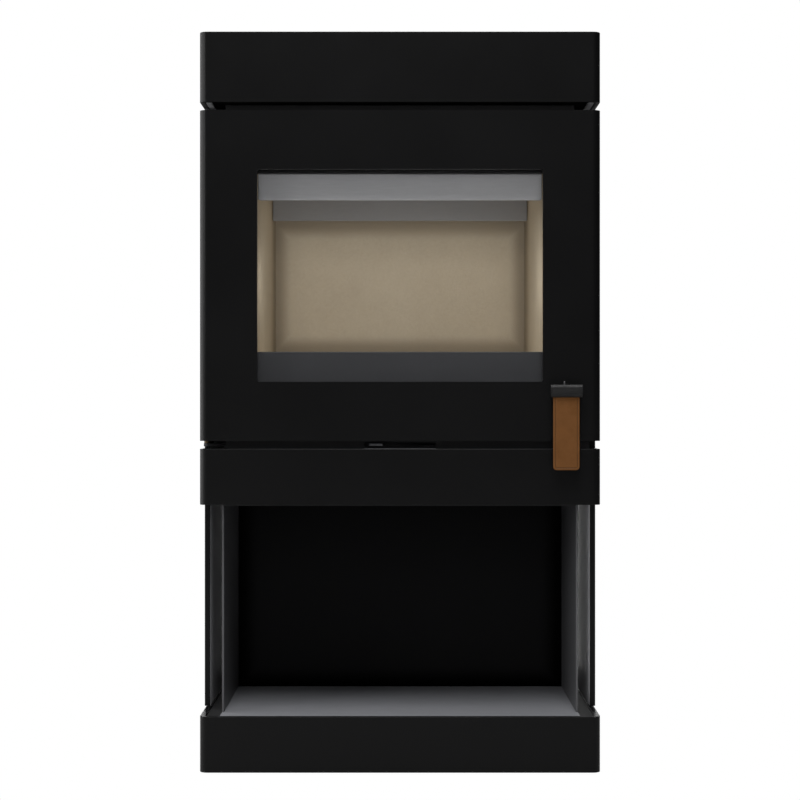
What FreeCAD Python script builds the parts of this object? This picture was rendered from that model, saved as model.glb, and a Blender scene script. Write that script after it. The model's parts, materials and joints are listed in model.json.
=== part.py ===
import FreeCAD, Part
import os

V = FreeCAD.Vector

# ---------------------------------------------------------------- driving dimensions (mm)
# Frame: +Z up, -Y is the front of the stove, origin on the floor under the middle of the base.
body_width = 502.0
body_depth = 380.0
base_height = 70.0
log_store_height = 265.0
band_height = 70.0
gap_height = 10.0
door_height = 414.0
cap_height = 88.0

casing_thickness = 7.0
casing_corner_radius = 10.0
front_depth = 62.0
side_panel_setback = 67.0
panel_foot_gap = 3.0
panel_head_gap = 3.0
rear_lip_width = 27.0
rear_panel_thickness = 2.0
rear_panel_inset = 3.0

plinth_bottom_thickness = 5.0
floor_plate_thickness = 4.0
floor_plate_drop = 1.0
fit_gap = 0.5
cut_over = 1.0
floor_corner_radius = 2.5
ledge_width = 20.0
ledge_end_gap = 12.0
ledge_thickness = 3.0

store_wall_thickness = 2.5
store_side_clearance = 17.6
store_wall_setback = 42.0
store_back_gap = 14.5

window_side_border = 72.2
window_low_border = 74.0
window_high_border = 74.0
window_corner_radius = 3.0
glass_thickness = 4.0
glass_overlap = 10.0
gasket_thickness = 1.5
gasket_width = 8.0
glass_corner_radius = 2.0
glass_side_gap = 1.0
door_frame_thickness = 6.0
door_frame_side_gap = 8.0
door_frame_end_gap = 4.0
rope_width = 10.0
rope_depth = 8.7
rope_plate_margin = 6.0
rope_low_inset = 3.0
rope_high_inset = 10.0
rope_corner_radius = 15.0
rope_channel_wall = 2.0
rope_channel_depth = 5.0
door_seal_gap = 0.3

hinge_pin_radius = 3.0
hinge_running_clearance = 0.05
hinge_eye_radius = 6.5
hinge_eye_height = 30.0
hinge_bracket_thickness = 4.0
hinge_bracket_arm = 30.0
washer_thickness = 3.6
washer_radius = 6.0

front_plate_thickness = 8.0
front_plate_side_gap = 24.0
front_plate_flange = 14.0
front_plate_head_gap = 1.0
shell_thickness = 5.0
firebox_rear_clearance = 50.0
firebox_floor_rise = 15.0
firebox_top_drop = 6.0
mouth_side_border = 29.0
mouth_top_drop = 2.5
mouth_step = 1.0
mouth_corner_radius = 8.0

liner_thickness_front = 16.0
liner_thickness_rear = 26.0
back_liner_thickness = 25.0
base_liner_thickness = 20.0
grate_support_thickness = 4.0
grate_width = 180.0
grate_length = 130.0
grate_thickness = 14.0
grate_bar_width = 8.0
grate_slot_width = 9.0
grate_slot_corner_radius = 3.0
grate_ledge = 10.0
grate_clearance = 1.0

ash_pan_height = 28.0
ash_pan_width = 230.0
ash_pan_length = 210.0
ash_pan_wall = 1.5
ash_pan_setback = 10.0
ash_pan_headroom = 3.0
ash_pan_corner_radius = 4.0

retainer_height = 57.3
retainer_thickness = 6.0
furniture_gap = 1.0
retainer_corner_radius = 1.5
deflector_height = 34.0
deflector_top_drop = 2.0
deflector_side_reach = 1.3
deflector_thickness = 3.0
deflector_flange = 36.0
deflector_rod_radius = 4.0
deflector_corner_radius = 4.0
rear_plate_drop = 41.5
rear_plate_setback = 50.0
rear_plate_thickness = 3.0
baffle_thickness = 20.0
baffle_length = 190.0
baffle_clearance = 2.0
baffle_rail_width = 12.0
baffle_rail_thickness = 4.0
baffle_rail_drop = 58.0

flue_inner_radius = 75.0
flue_wall = 4.0
flue_rear_distance = 170.0
flue_top_drop = 2.0
flue_hole_clearance = 10.0

chassis_thickness = 6.0
chassis_drop = 9.0
ceiling_thickness = 2.5
ceiling_drop = 1.0
leg_half_width = 12.0
leg_side_inset = 30.0
leg_end_inset = 40.0
bracket_thickness = 4.0
band_lip_length = 12.0
band_lip_thickness = 3.0
band_bracket_margin = 14.0
band_bracket_end_gap = 4.0
hanger_spread = 60.0
hanger_half_length = 15.0
hanger_low_margin = 60.0
hanger_high_margin = 90.0
shield_rise = 4.0
shield_thickness = 2.0
shield_corner_radius = 4.0
cap_strip_width = 7.0
cap_strip_thickness = 2.0
cap_strip_rise = 0.5
band_strip_thickness = 0.6
band_strip_inset = 1.0
cap_post_radius = 8.0
cap_post_side_inset = 100.0
cap_post_end_inset = 60.0

slot_width = 90.0
slot_height = 7.0
slot_rise = 1.0
slot_corner_radius = 1.0
tab_width = 15.5
tab_thickness = 1.6
tab_cap_thickness = 2.6
tab_end_margin = 7.0
tab_reach = 17.0
tab_cap_length = 9.0
tab_cap_side = 0.5
tab_cap_lead = 1.0
slider_travel = 64.0
slider_width = 95.0
slider_length = 50.0
slider_clearance = 0.3
slider_setback = 3.0
slider_lift = 0.7
slider_port_share = 0.3
guide_post_length = 4.0
guide_rail_width = 8.0
guide_rail_thickness = 2.0
slider_guide_overhang = 10.0
slider_port_radius = 12.0

spigot_inner_radius = 48.0
spigot_wall = 2.5
spigot_length = 27.0
spigot_drop = 56.0
air_box_half_width = 120.0
air_box_length = 80.0
air_box_height = 116.0
air_box_wall = 2.0
air_port_radius = 35.0

handle_side_inset = 44.2
handle_axis_rise = 64.0
handle_standoff = 14.0
handle_bar_length = 39.4
handle_bar_height = 16.2
handle_bar_depth = 14.0
handle_bar_edge_radius = 4.5
handle_axis_above_middle = 1.5
handle_pin_radius = 2.0
lug_radius = 4.2
lug_width = 9.0
lug_flange_radius = 8.0
lug_flange_thickness = 2.0
lug_room = 0.4
lug_side_gap = 0.3
handle_pin_end_cover = 3.0
grub_screw_radius = 1.0
grub_screw_height = 10.5
grub_screw_offset = 1.5
grub_screw_setback = 2.6
strap_width = 32.8
strap_length = 93.7
strap_layer = 1.8
strap_corner_radius = 4.5
strap_grip = 3.2
strap_screw_radius = 1.2
strap_screw_spread = 11.0
strap_screw_end_cover = 2.2
strap_screw_lead = 2.0

latch_tongue_width = 10.0
latch_tongue_thickness = 4.0
latch_tongue_reach = 28.0
latch_clearance = 0.6
latch_prong = 8.0
latch_side_gap = 5.0
latch_foot_thickness = 3.0
latch_foot_reach = 8.0
latch_web_gap = 6.0
latch_web_thickness = 4.0
latch_catch_lead = 2.0
latch_arm_gap = 1.0

levelling_screw_radius = 5.0
levelling_screw_inset = 45.0
screw_radius = 2.5
screw_head_radius = 5.0
screw_head_height = 3.0
screw_clearance = 0.2
levelling_nut_radius = 9.5
levelling_nut_height = 8.0
rear_screw_rows = 5
rear_screw_end_margin = 30.0
door_screw_rows = 5
door_screw_edge_inset = 6.0
door_screw_end_margin = 22.0
door_screw_bite = 4.0
clip_spread = 110.0
clip_length = 24.0
clip_width = 18.0
clip_thickness = 1.5
clip_lap = 2.0
clip_screw_offset = 4.5
clip_screw_radius = 2.0
clip_head_radius = 3.6
clip_head_height = 2.5
clip_corner_radius = 2.0
vent_count = 9
vent_pitch = 36.0
vent_width = 10.0
vent_height = 44.0
vent_head_margin = 70.0
vent_foot_margin = 40.0
hinge_foot_width = 18.0
hinge_root_inset = 20.0
hinge_shoulder = 12.0
hinge_pin_end_gap = 1.0

# ---------------------------------------------------------------- levels and planes that follow
half_w = body_width / 2
front_y = -body_depth / 2
rear_y = body_depth / 2
z_store = base_height
z_band = z_store + log_store_height
z_low_gap = z_band + band_height
z_door = z_low_gap + gap_height
z_top_gap = z_door + door_height
z_cap = z_top_gap + gap_height
z_top = z_cap + cap_height
inner_half_w = half_w - casing_thickness
inner_corner_radius = casing_corner_radius - casing_thickness
front_plate_half_w = inner_half_w - front_plate_side_gap
firebox_half_w = front_plate_half_w - front_plate_flange
mouth_half_w = front_plate_half_w - mouth_side_border
store_outer_half_w = inner_half_w - store_side_clearance
store_half_w = store_outer_half_w - store_wall_thickness
store_front_y = front_y + store_wall_setback

panel_front_y = front_y + side_panel_setback
z_panel_foot = z_store + panel_foot_gap
z_panel_head = z_cap - panel_head_gap

window_half_w = half_w - window_side_border
window_low = z_door + window_low_border
window_high = z_top_gap - window_high_border
door_back_y = front_y + casing_thickness
glass_front_y = door_back_y + gasket_thickness
glass_back_y = glass_front_y + glass_thickness
glass_half_w = window_half_w + glass_overlap
glass_low = window_low - glass_overlap
glass_high = window_high + glass_overlap
frame_back_y = door_back_y + door_frame_thickness
frame_half_w = inner_half_w - door_frame_side_gap
frame_low = z_door + door_frame_end_gap
frame_high = z_top_gap - door_frame_end_gap
rope_half_w = front_plate_half_w - rope_plate_margin
rope_low = frame_low + rope_low_inset
rope_high = frame_high - rope_high_inset
front_plate_y = frame_back_y + rope_depth + door_seal_gap

hinge_x = -(half_w - hinge_eye_radius)
hinge_y = front_y + front_depth - hinge_eye_radius

shell_front_y = front_plate_y + front_plate_thickness
shell_back_y = rear_y - firebox_rear_clearance
z_floor = z_door + firebox_floor_rise
z_floor_top = z_floor + shell_thickness
z_shell_top = z_top_gap - firebox_top_drop
mouth_low = z_floor_top + mouth_step
mouth_high = window_high - mouth_top_drop
wall_x = firebox_half_w - shell_thickness
liner_back_y = shell_back_y - shell_thickness
liner_y0 = shell_front_y + fit_gap
liner_y1 = liner_back_y - back_liner_thickness
z_rail = z_top_gap - baffle_rail_drop
z_baffle = z_rail + baffle_rail_thickness
flue_y = rear_y - flue_rear_distance
flue_outer_radius = flue_inner_radius + flue_wall

z_pan = z_floor_top
z_grate_support = z_pan + ash_pan_height + ash_pan_headroom
z_base_liner = z_grate_support + grate_support_thickness
z_hearth = z_base_liner + base_liner_thickness
z_chassis = z_low_gap - chassis_drop
z_chassis_top = z_chassis + chassis_thickness
z_ceiling = z_band - ceiling_thickness - ceiling_drop
z_slot = z_low_gap + slot_rise
z_slider = z_slot + slot_height / 2 - tab_thickness / 2 + slider_lift
z_slider_top = z_slider + tab_thickness
z_store_foot = z_store - floor_plate_drop
z_front_high = z_cap - front_plate_head_gap
z_shield = z_cap + shield_rise
air_box_back_y = rear_y - spigot_length + air_box_wall
air_box_front_y = air_box_back_y - air_box_length
air_box_middle_y = (air_box_front_y + air_box_back_y) / 2
store_back_y = air_box_front_y - store_back_gap - store_wall_thickness
spigot_z = z_chassis - spigot_drop
spigot_radius = spigot_inner_radius + spigot_wall

tab_x0 = -slot_width / 2 + tab_end_margin
tab_x1 = tab_x0 + tab_width
tab_tip_y = front_plate_y - tab_reach
slider_x0 = (tab_x0 + tab_x1) / 2 - slider_width / 2
slider_x1 = slider_x0 + slider_width
slider_y0 = shell_front_y + slider_setback
slider_y1 = slider_y0 + slider_length

handle_x = half_w - handle_side_inset
bar_y = front_y - handle_standoff
handle_axis_z = z_door + handle_axis_rise
bar_mid_z = handle_axis_z - handle_axis_above_middle
bar_low = bar_mid_z - handle_bar_height / 2
bar_high = bar_mid_z + handle_bar_height / 2
bar_half_w = handle_bar_length / 2
latch_x0 = front_plate_half_w + latch_side_gap
latch_x1 = latch_x0 + latch_tongue_width


# ---------------------------------------------------------------- shape helpers
def block(x0, x1, y0, y1, z0, z1):
    return Part.makeBox(x1 - x0, y1 - y0, z1 - z0, V(x0, y0, z0))


def rod_z(x, y, z0, z1, radius):
    return Part.makeCylinder(radius, z1 - z0, V(x, y, z0), V(0, 0, 1))


def rod_y(x, y0, y1, z, radius):
    return Part.makeCylinder(radius, y1 - y0, V(x, y0, z), V(0, 1, 0))


def rod_x(x0, x1, y, z, radius):
    return Part.makeCylinder(radius, x1 - x0, V(x0, y, z), V(1, 0, 0))


def round_edges(shape, radius, direction, keep):
    """Round the straight edges that run along direction and whose middle passes keep()."""
    edges = []
    for edge in shape.Edges:
        if edge.Curve.TypeId != "Part::GeomLine":
            continue
        run = edge.tangentAt(edge.FirstParameter)
        if abs(abs(run.dot(direction)) - 1) > 1e-6:
            continue
        if keep(edge.CenterOfMass):
            edges.append(edge)
    return shape.makeFillet(radius, edges)


def everywhere(point):
    return True


def rounded_z(x0, x1, y0, y1, z0, z1, radius, keep=everywhere):
    return round_edges(block(x0, x1, y0, y1, z0, z1), radius, V(0, 0, 1), keep)


def rounded_y(x0, x1, y0, y1, z0, z1, radius):
    return round_edges(block(x0, x1, y0, y1, z0, z1), radius, V(0, 1, 0), everywhere)


def span(side, near, far):
    """The two x limits, in order, of a piece between near and far on one side of the middle."""
    return sorted((side * near, side * far))


def prism_z(points, z0, z1):
    loop = [V(x, y, z0) for x, y in points]
    return Part.Face(Part.makePolygon(loop + loop[:1])).extrude(V(0, 0, z1 - z0))


def ring_y(half, low, high, inner_half, inner_low, inner_high, y0, y1, radius=0.0, inner_radius=0.0):
    """A flat frame facing the front, with a rectangular hole."""
    outer = block(-half, half, y0, y1, low, high)
    hole = block(-inner_half, inner_half, y0 - cut_over, y1 + cut_over, inner_low, inner_high)
    if radius:
        outer = round_edges(outer, radius, V(0, 1, 0), everywhere)
    if inner_radius:
        hole = round_edges(hole, inner_radius, V(0, 1, 0), everywhere)
    return outer.cut(hole)


def front_wrap(z0, z1):
    """The U-shaped front of a casing part: a face with two returns and rounded corners."""
    back = front_y + front_depth

    def front_corner(point):
        return point.y < back - front_depth / 2

    outer = rounded_z(-half_w, half_w, front_y, back, z0, z1, casing_corner_radius, front_corner)
    inner = rounded_z(-inner_half_w, inner_half_w, door_back_y, back + cut_over, z0 - cut_over,
                      z1 + cut_over, inner_corner_radius, front_corner)
    return outer.cut(inner)


def group(shapes):
    return Part.makeCompound(shapes)


def screw_y(x, y, z, grip, out):
    """A button-head screw along Y: the head stands on y and faces out, the shank runs the other way."""
    shank = rod_y(x, min(y, y - out * grip), max(y, y - out * grip), z, screw_radius)
    head_y = y if out > 0 else y - screw_head_height
    head = rod_y(x, head_y, head_y + screw_head_height, z, screw_head_radius)
    return shank.fuse(head)


def screw_hole_y(x, y0, y1, z):
    return rod_y(x, y0 - cut_over, y1 + cut_over, z, screw_radius + screw_clearance)


def save(name, shape):
    shape.exportStep("parts/" + name + ".step")


# ---------------------------------------------------------------- base and log store
def levelling_points():
    reach_x = half_w - levelling_screw_inset
    reach_y = rear_y - levelling_screw_inset
    return [(sx * reach_x, sy * reach_y) for sx in (-1, 1) for sy in (-1, 1)]


def make_base_plinth():
    tray = rounded_z(-half_w, half_w, front_y, rear_y, 0, z_store, casing_corner_radius)
    hollow = rounded_z(-inner_half_w, inner_half_w, door_back_y, rear_y - casing_thickness,
                       plinth_bottom_thickness, z_store + cut_over, inner_corner_radius)
    tray = tray.cut(hollow)
    for x, y in levelling_points():
        tray = tray.cut(rod_z(x, y, -cut_over, plinth_bottom_thickness + cut_over,
                              levelling_screw_radius + fit_gap / 2))
    return tray


def make_levelling_screws():
    screws = []
    for x, y in levelling_points():
        screws.append(rod_z(x, y, fit_gap, base_height / 2, levelling_screw_radius))
    return group(screws)


def make_levelling_nuts():
    nuts = []
    for x, y in levelling_points():
        corners = [(x + levelling_nut_radius * c, y + levelling_nut_radius * s) for c, s in hexagon()]
        nut = prism_z(corners, plinth_bottom_thickness, plinth_bottom_thickness + levelling_nut_height)
        nuts.append(nut.cut(rod_z(x, y, 0, base_height, levelling_screw_radius)))
    return group(nuts)


def hexagon():
    points = []
    for step in range(6):
        turn = FreeCAD.Rotation(V(0, 0, 1), 60 * step).multVec(V(1, 0, 0))
        points.append((turn.x, turn.y))
    return points


def make_plinth_ledges():
    z1 = z_store_foot - floor_plate_thickness
    ledges = []
    for side in (-1, 1):
        x0, x1 = span(side, inner_half_w - ledge_width, inner_half_w)
        web_x0, web_x1 = span(side, inner_half_w - ledge_thickness, inner_half_w)
        y0 = door_back_y + ledge_end_gap
        y1 = rear_y - casing_thickness - ledge_end_gap
        flat = block(x0, x1, y0, y1, z1 - ledge_thickness, z1)
        ledges.append(flat.fuse(block(web_x0, web_x1, y0, y1, z1 - ledge_width, z1)).removeSplitter())
    return group(ledges)


def make_log_store_floor():
    reach = inner_half_w - fit_gap
    return rounded_z(-reach, reach, door_back_y + fit_gap, rear_y - casing_thickness - fit_gap,
                     z_store_foot - floor_plate_thickness, z_store_foot, floor_corner_radius)


def make_log_store_wall(side):
    x0, x1 = span(side, store_half_w, store_outer_half_w)
    return block(x0, x1, store_front_y, store_back_y, z_store_foot, z_chassis)


def make_log_store_back():
    return block(-store_outer_half_w, store_outer_half_w, store_back_y, store_back_y + store_wall_thickness,
                 z_store_foot, z_chassis)


def make_log_store_ceiling():
    return block(-store_half_w, store_half_w, store_front_y, store_back_y,
                 z_ceiling, z_ceiling + ceiling_thickness)


# ---------------------------------------------------------------- outer casing
def make_side_panel(side):
    """A flush side, with a lip that turns in along the back edge and carries the rear panel."""
    lip = half_w - rear_lip_width
    x0, x1 = span(side, lip, half_w)
    hollow_x0, hollow_x1 = span(side, lip - cut_over, inner_half_w)

    def back_corner(point):
        return point.y > 0 and point.x * side > lip

    solid = rounded_z(x0, x1, panel_front_y, rear_y, z_panel_foot, z_panel_head, casing_corner_radius,
                      back_corner)
    hollow = rounded_z(hollow_x0, hollow_x1, panel_front_y - cut_over, rear_y - casing_thickness,
                       z_panel_foot - cut_over, z_panel_head + cut_over, inner_corner_radius, back_corner)
    return drill_lips(solid.cut(hollow), side)


def rear_panel_y():
    y1 = rear_y - casing_thickness
    return y1 - rear_panel_thickness, y1


def rear_screw_points():
    x = half_w - rear_lip_width / 2 - casing_thickness / 2
    low = z_panel_foot + rear_screw_end_margin
    step = (z_panel_head - rear_screw_end_margin - low) / (rear_screw_rows - 1)
    return [(side * x, low + row * step) for side in (-1, 1) for row in range(rear_screw_rows)]


def make_rear_panel():
    y0, y1 = rear_panel_y()
    reach = inner_half_w - rear_panel_inset - fit_gap
    panel = block(-reach, reach, y0, y1, z_panel_foot, z_panel_head)
    panel = panel.cut(rod_y(0, y0 - cut_over, y1 + cut_over, spigot_z, spigot_radius + fit_gap))
    for low in (z_panel_head - vent_head_margin, z_panel_foot + vent_foot_margin):
        for number in range(vent_count):
            panel = panel.cut(vent_hole((number - (vent_count - 1) / 2) * vent_pitch, low, y0, y1))
    for x, z in rear_screw_points():
        panel = panel.cut(screw_hole_y(x, y0, y1, z))
    return panel


def vent_hole(x, low, y0, y1):
    """An upright slot with round ends."""
    radius = vent_width / 2
    foot = low + radius
    head = low + vent_height - radius
    hole = block(x - radius, x + radius, y0 - cut_over, y1 + cut_over, foot, head)
    for z in (foot, head):
        hole = hole.fuse(rod_y(x, y0 - cut_over, y1 + cut_over, z, radius))
    return hole


def drill_lips(panel, side):
    for x, z in rear_screw_points():
        if x * side > 0:
            panel = panel.cut(screw_hole_y(x, rear_y - casing_thickness, rear_y, z))
    return panel


def make_rear_screws():
    grip = casing_thickness + rear_panel_thickness
    return group([screw_y(x, rear_y, z, grip, 1) for x, z in rear_screw_points()])


def make_front_band():
    band = front_wrap(z_band, z_low_gap)
    y0 = door_back_y - cut_over
    y1 = door_back_y + band_lip_length
    for z0 in (z_band, z_low_gap - band_lip_thickness):
        band = band.fuse(block(-inner_half_w, inner_half_w, y0, y1, z0, z0 + band_lip_thickness))
    return band.removeSplitter()


def make_band_brackets():
    y1 = front_y + front_depth - band_bracket_end_gap
    brackets = []
    for side in (-1, 1):
        x0, x1 = span(side, store_outer_half_w, inner_half_w)
        for z in (z_band + band_bracket_margin, z_low_gap - band_bracket_margin - bracket_thickness):
            brackets.append(block(x0, x1, store_front_y, y1, z, z + bracket_thickness))
    return group(brackets)


def make_cap():
    lid = rounded_z(-half_w, half_w, front_y, rear_y, z_cap, z_top, casing_corner_radius)
    hollow = rounded_z(-inner_half_w, inner_half_w, door_back_y, rear_y - casing_thickness,
                       z_cap - cut_over, z_top - casing_thickness, inner_corner_radius)
    hole = rod_z(0, flue_y, z_cap, z_top + cut_over, flue_outer_radius + flue_hole_clearance)
    return lid.cut(hollow).cut(hole)


def make_cap_heat_shield():
    reach = inner_half_w - casing_thickness
    y0 = door_back_y + casing_thickness
    y1 = rear_y - 2 * casing_thickness
    sheet = rounded_z(-reach, reach, y0, y1, z_shield, z_shield + shield_thickness, shield_corner_radius)
    return sheet.cut(rod_z(0, flue_y, z_cap, z_top, flue_outer_radius + flue_hole_clearance / 2))


def cap_post_points():
    reach_x = half_w - cap_post_side_inset
    reach_y = rear_y - cap_post_end_inset
    return [(sx * reach_x, sy * reach_y) for sx in (-1, 1) for sy in (-1, 1)]


def make_cap_posts():
    posts = []
    for x, y in cap_post_points():
        posts.append(rod_z(x, y, z_shield + shield_thickness, z_top - casing_thickness, cap_post_radius))
    return group(posts)


def make_cap_side_strips():
    """Flat steel strips that stiffen the cap's lower side edges from inside."""
    y0 = door_back_y
    y1 = rear_y - casing_thickness
    z0 = z_cap + cap_strip_rise
    strips = []
    for side in (-1, 1):
        x0, x1 = span(side, inner_half_w - cap_strip_width, inner_half_w)
        strip = rounded_z(x0, x1, y0, y1, z0, z0 + cap_strip_thickness, inner_corner_radius,
                          lambda p: abs(p.x) > inner_half_w - cap_strip_width / 2)
        strips.append(strip)
    return group(strips)


def make_band_top_strip():
    """A thin wear strip on top of the lower band, in front of the air slot."""
    return block(-slot_width / 2, slot_width / 2, front_y + band_strip_inset, door_back_y, z_low_gap,
                 z_low_gap + band_strip_thickness)


def make_edge_strips():
    return group(make_cap_side_strips().Solids + [make_band_top_strip()])


def make_shield_posts():
    posts = []
    for x, y in cap_post_points():
        posts.append(rod_z(x, y, z_shell_top, z_shield, cap_post_radius))
    return group(posts)


def make_panel_hangers():
    hangers = []
    for side in (-1, 1):
        x0, x1 = span(side, firebox_half_w, inner_half_w)
        for z in (z_door + hanger_low_margin, z_top_gap - hanger_high_margin):
            for y in (-hanger_spread, hanger_spread):
                hangers.append(block(x0, x1, y - hanger_half_length, y + hanger_half_length,
                                     z, z + bracket_thickness))
    return group(hangers)


# ---------------------------------------------------------------- chassis and air supply
def make_chassis_plate():
    plate = block(-store_outer_half_w, store_outer_half_w, shell_front_y, shell_back_y, z_chassis,
                  z_chassis_top)
    return plate.cut(rod_z(0, air_box_middle_y, z_chassis - cut_over, z_chassis_top + cut_over,
                           air_port_radius))


def make_chassis_legs():
    legs = []
    middle = (shell_front_y + shell_back_y) / 2
    for sx in (-1, 1):
        for sy in (-1, 1):
            x = sx * (firebox_half_w - leg_side_inset)
            y = middle + sy * (shell_back_y - middle - leg_end_inset)
            legs.append(block(x - leg_half_width, x + leg_half_width, y - leg_half_width, y + leg_half_width,
                              z_chassis_top, z_floor))
    return group(legs)


def make_air_box():
    low = z_chassis - air_box_height
    half = air_box_half_width - air_box_wall
    outer = block(-air_box_half_width, air_box_half_width, air_box_front_y, air_box_back_y, low, z_chassis)
    inner = block(-half, half, air_box_front_y + air_box_wall, air_box_back_y - air_box_wall,
                  low + air_box_wall, z_chassis - air_box_wall)
    mouth = rod_y(0, air_box_middle_y, air_box_back_y + cut_over, spigot_z, spigot_radius)
    port = rod_z(0, air_box_middle_y, spigot_z, z_chassis + cut_over, air_port_radius)
    return outer.cut(inner).cut(mouth).cut(port)


def make_air_spigot():
    outer = rod_y(0, rear_y - spigot_length, rear_y, spigot_z, spigot_radius)
    return outer.cut(rod_y(0, rear_y - spigot_length - cut_over, rear_y + cut_over, spigot_z,
                           spigot_inner_radius))


# ---------------------------------------------------------------- air control
def slider_ports(shift, z0, z1):
    middle_y = (slider_y0 + slider_y1) / 2
    ends = (slider_x0 + slider_width * slider_port_share, slider_x1 - slider_width * slider_port_share)
    return [rod_z(x + shift, middle_y, z0, z1, slider_port_radius) for x in ends]


def make_air_slider():
    plate = block(slider_x0, slider_x1, slider_y0, slider_y1, z_slider, z_slider_top)
    neck = block(tab_x0, tab_x1, tab_tip_y, slider_y0 + cut_over, z_slider, z_slider_top)
    slider = plate.fuse(neck).removeSplitter()
    for port in slider_ports(0.0, z_slider - cut_over, z_slider_top + cut_over):
        slider = slider.cut(port)
    return slider


def make_air_slider_cap():
    y0 = tab_tip_y - tab_cap_lead
    y1 = y0 + tab_cap_length
    wrap = (tab_cap_thickness - tab_thickness) / 2
    cap = block(tab_x0 - tab_cap_side, tab_x1 + tab_cap_side, y0, y1, z_slider - wrap, z_slider_top + wrap)
    pocket = block(tab_x0, tab_x1, tab_tip_y, y1 + cut_over, z_slider, z_slider_top)
    return cap.cut(pocket)


def make_slider_guide():
    x0 = slider_x0 - slider_guide_overhang
    x1 = slider_x1 + slider_travel + slider_guide_overhang
    under = z_slider - slider_clearance
    over = z_slider_top + slider_clearance
    high = over + guide_rail_thickness
    bed = block(x0, x1, slider_y0, slider_y1, z_chassis_top, under)
    for port in slider_ports(slider_travel / 2, z_chassis_top - cut_over, under + cut_over):
        bed = bed.cut(port)
    for post_x0 in (x0, x1 - guide_post_length):
        post_x1 = post_x0 + guide_post_length
        bed = bed.fuse(block(post_x0, post_x1, slider_y0, slider_y1, z_chassis_top, high))
    for y in (slider_y0, slider_y1 - guide_rail_width):
        bed = bed.fuse(block(x0, x1, y, y + guide_rail_width, over, high))
    return bed.removeSplitter()


# ---------------------------------------------------------------- firebox shell
def make_firebox_front():
    plate = ring_y(front_plate_half_w, z_chassis, z_front_high, mouth_half_w, mouth_low, mouth_high,
                   front_plate_y, shell_front_y, 0.0, mouth_corner_radius)
    slot = rounded_y(-slot_width / 2, slot_width / 2, front_plate_y - cut_over, shell_front_y + cut_over,
                     z_slot, z_slot + slot_height, slot_corner_radius)
    return plate.cut(slot)


def make_firebox_wall(side):
    x0, x1 = span(side, wall_x, firebox_half_w)
    return block(x0, x1, shell_front_y, liner_back_y, z_floor_top,
                 z_shell_top - shell_thickness)


def make_firebox_back():
    return block(-firebox_half_w, firebox_half_w, liner_back_y, shell_back_y,
                 z_floor_top, z_shell_top - shell_thickness)


def make_firebox_floor():
    return block(-firebox_half_w, firebox_half_w, shell_front_y, shell_back_y, z_floor, z_floor_top)


def make_firebox_top():
    plate = block(-firebox_half_w, firebox_half_w, shell_front_y, shell_back_y,
                  z_shell_top - shell_thickness, z_shell_top)
    return plate.cut(rod_z(0, flue_y, z_baffle, z_cap, flue_outer_radius))


def make_flue_collar():
    z0 = z_shell_top - shell_thickness
    z1 = z_top - flue_top_drop
    tube = rod_z(0, flue_y, z0, z1, flue_outer_radius)
    return tube.cut(rod_z(0, flue_y, z0 - cut_over, z1 + cut_over, flue_inner_radius))


# ---------------------------------------------------------------- firebox lining and furniture
def liner_face_x(y):
    """How far the side liners' faces stand from the middle at depth y: they close in to the rear."""
    share = (y - liner_y0) / (liner_y1 - liner_y0)
    thickness = liner_thickness_front + share * (liner_thickness_rear - liner_thickness_front)
    return wall_x - thickness


def make_side_liner(side):
    outer = side * wall_x
    points = [(outer, liner_y0), (side * liner_face_x(liner_y0), liner_y0),
              (side * liner_face_x(liner_y1), liner_y1), (outer, liner_y1)]
    return prism_z(points, z_base_liner, z_rail)


def make_back_liner():
    return block(-wall_x, wall_x, liner_y1, liner_back_y, z_base_liner, z_rail)


def grate_hole(margin, z0, z1):
    half = grate_width / 2 + margin
    y0 = grate_y0() - margin
    return block(-half, half, y0, y0 + grate_length + 2 * margin, z0, z1)


def grate_y0():
    return (liner_y0 + liner_y1) / 2 - grate_length / 2


def make_grate_support():
    plate = block(-wall_x, wall_x, liner_y0, liner_back_y, z_grate_support, z_base_liner)
    return plate.cut(grate_hole(-grate_ledge, z_grate_support - cut_over, z_base_liner + cut_over))


def retainer_y():
    y0 = shell_front_y + furniture_gap
    return y0, y0 + retainer_thickness


def make_base_liner():
    y0 = retainer_y()[1] + fit_gap
    y1 = liner_y1 - fit_gap
    near = liner_face_x(y0) - fit_gap
    far = liner_face_x(y1) - fit_gap
    slab = prism_z([(-near, y0), (near, y0), (far, y1), (-far, y1)], z_base_liner, z_hearth)
    return slab.cut(grate_hole(grate_clearance, z_base_liner - cut_over, z_hearth + cut_over))


def make_grate():
    grate = grate_hole(0.0, z_base_liner, z_base_liner + grate_thickness)
    pitch = grate_bar_width + grate_slot_width
    count = int((grate_width - grate_bar_width) // pitch)
    y0 = grate_y0() + grate_bar_width
    y1 = grate_y0() + grate_length - grate_bar_width
    for number in range(count):
        x = (number - (count - 1) / 2) * pitch
        grate = grate.cut(rounded_z(x - grate_slot_width / 2, x + grate_slot_width / 2, y0, y1,
                                    z_base_liner - cut_over, z_base_liner + grate_thickness + cut_over,
                                    grate_slot_corner_radius))
    return grate


def make_ash_pan():
    y0 = liner_y0 + ash_pan_setback
    z1 = z_pan + ash_pan_height
    half = ash_pan_width / 2
    pan = rounded_z(-half, half, y0, y0 + ash_pan_length, z_pan, z1, ash_pan_corner_radius)
    inner = rounded_z(-half + ash_pan_wall, half - ash_pan_wall, y0 + ash_pan_wall,
                      y0 + ash_pan_length - ash_pan_wall, z_pan + ash_pan_wall, z1 + cut_over,
                      ash_pan_corner_radius - ash_pan_wall)
    return pan.cut(inner)


def make_log_retainer():
    y0, y1 = retainer_y()
    half = liner_face_x(y1) - furniture_gap
    return rounded_y(-half, half, y0, y1, z_base_liner, z_base_liner + retainer_height,
                     retainer_corner_radius)


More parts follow.
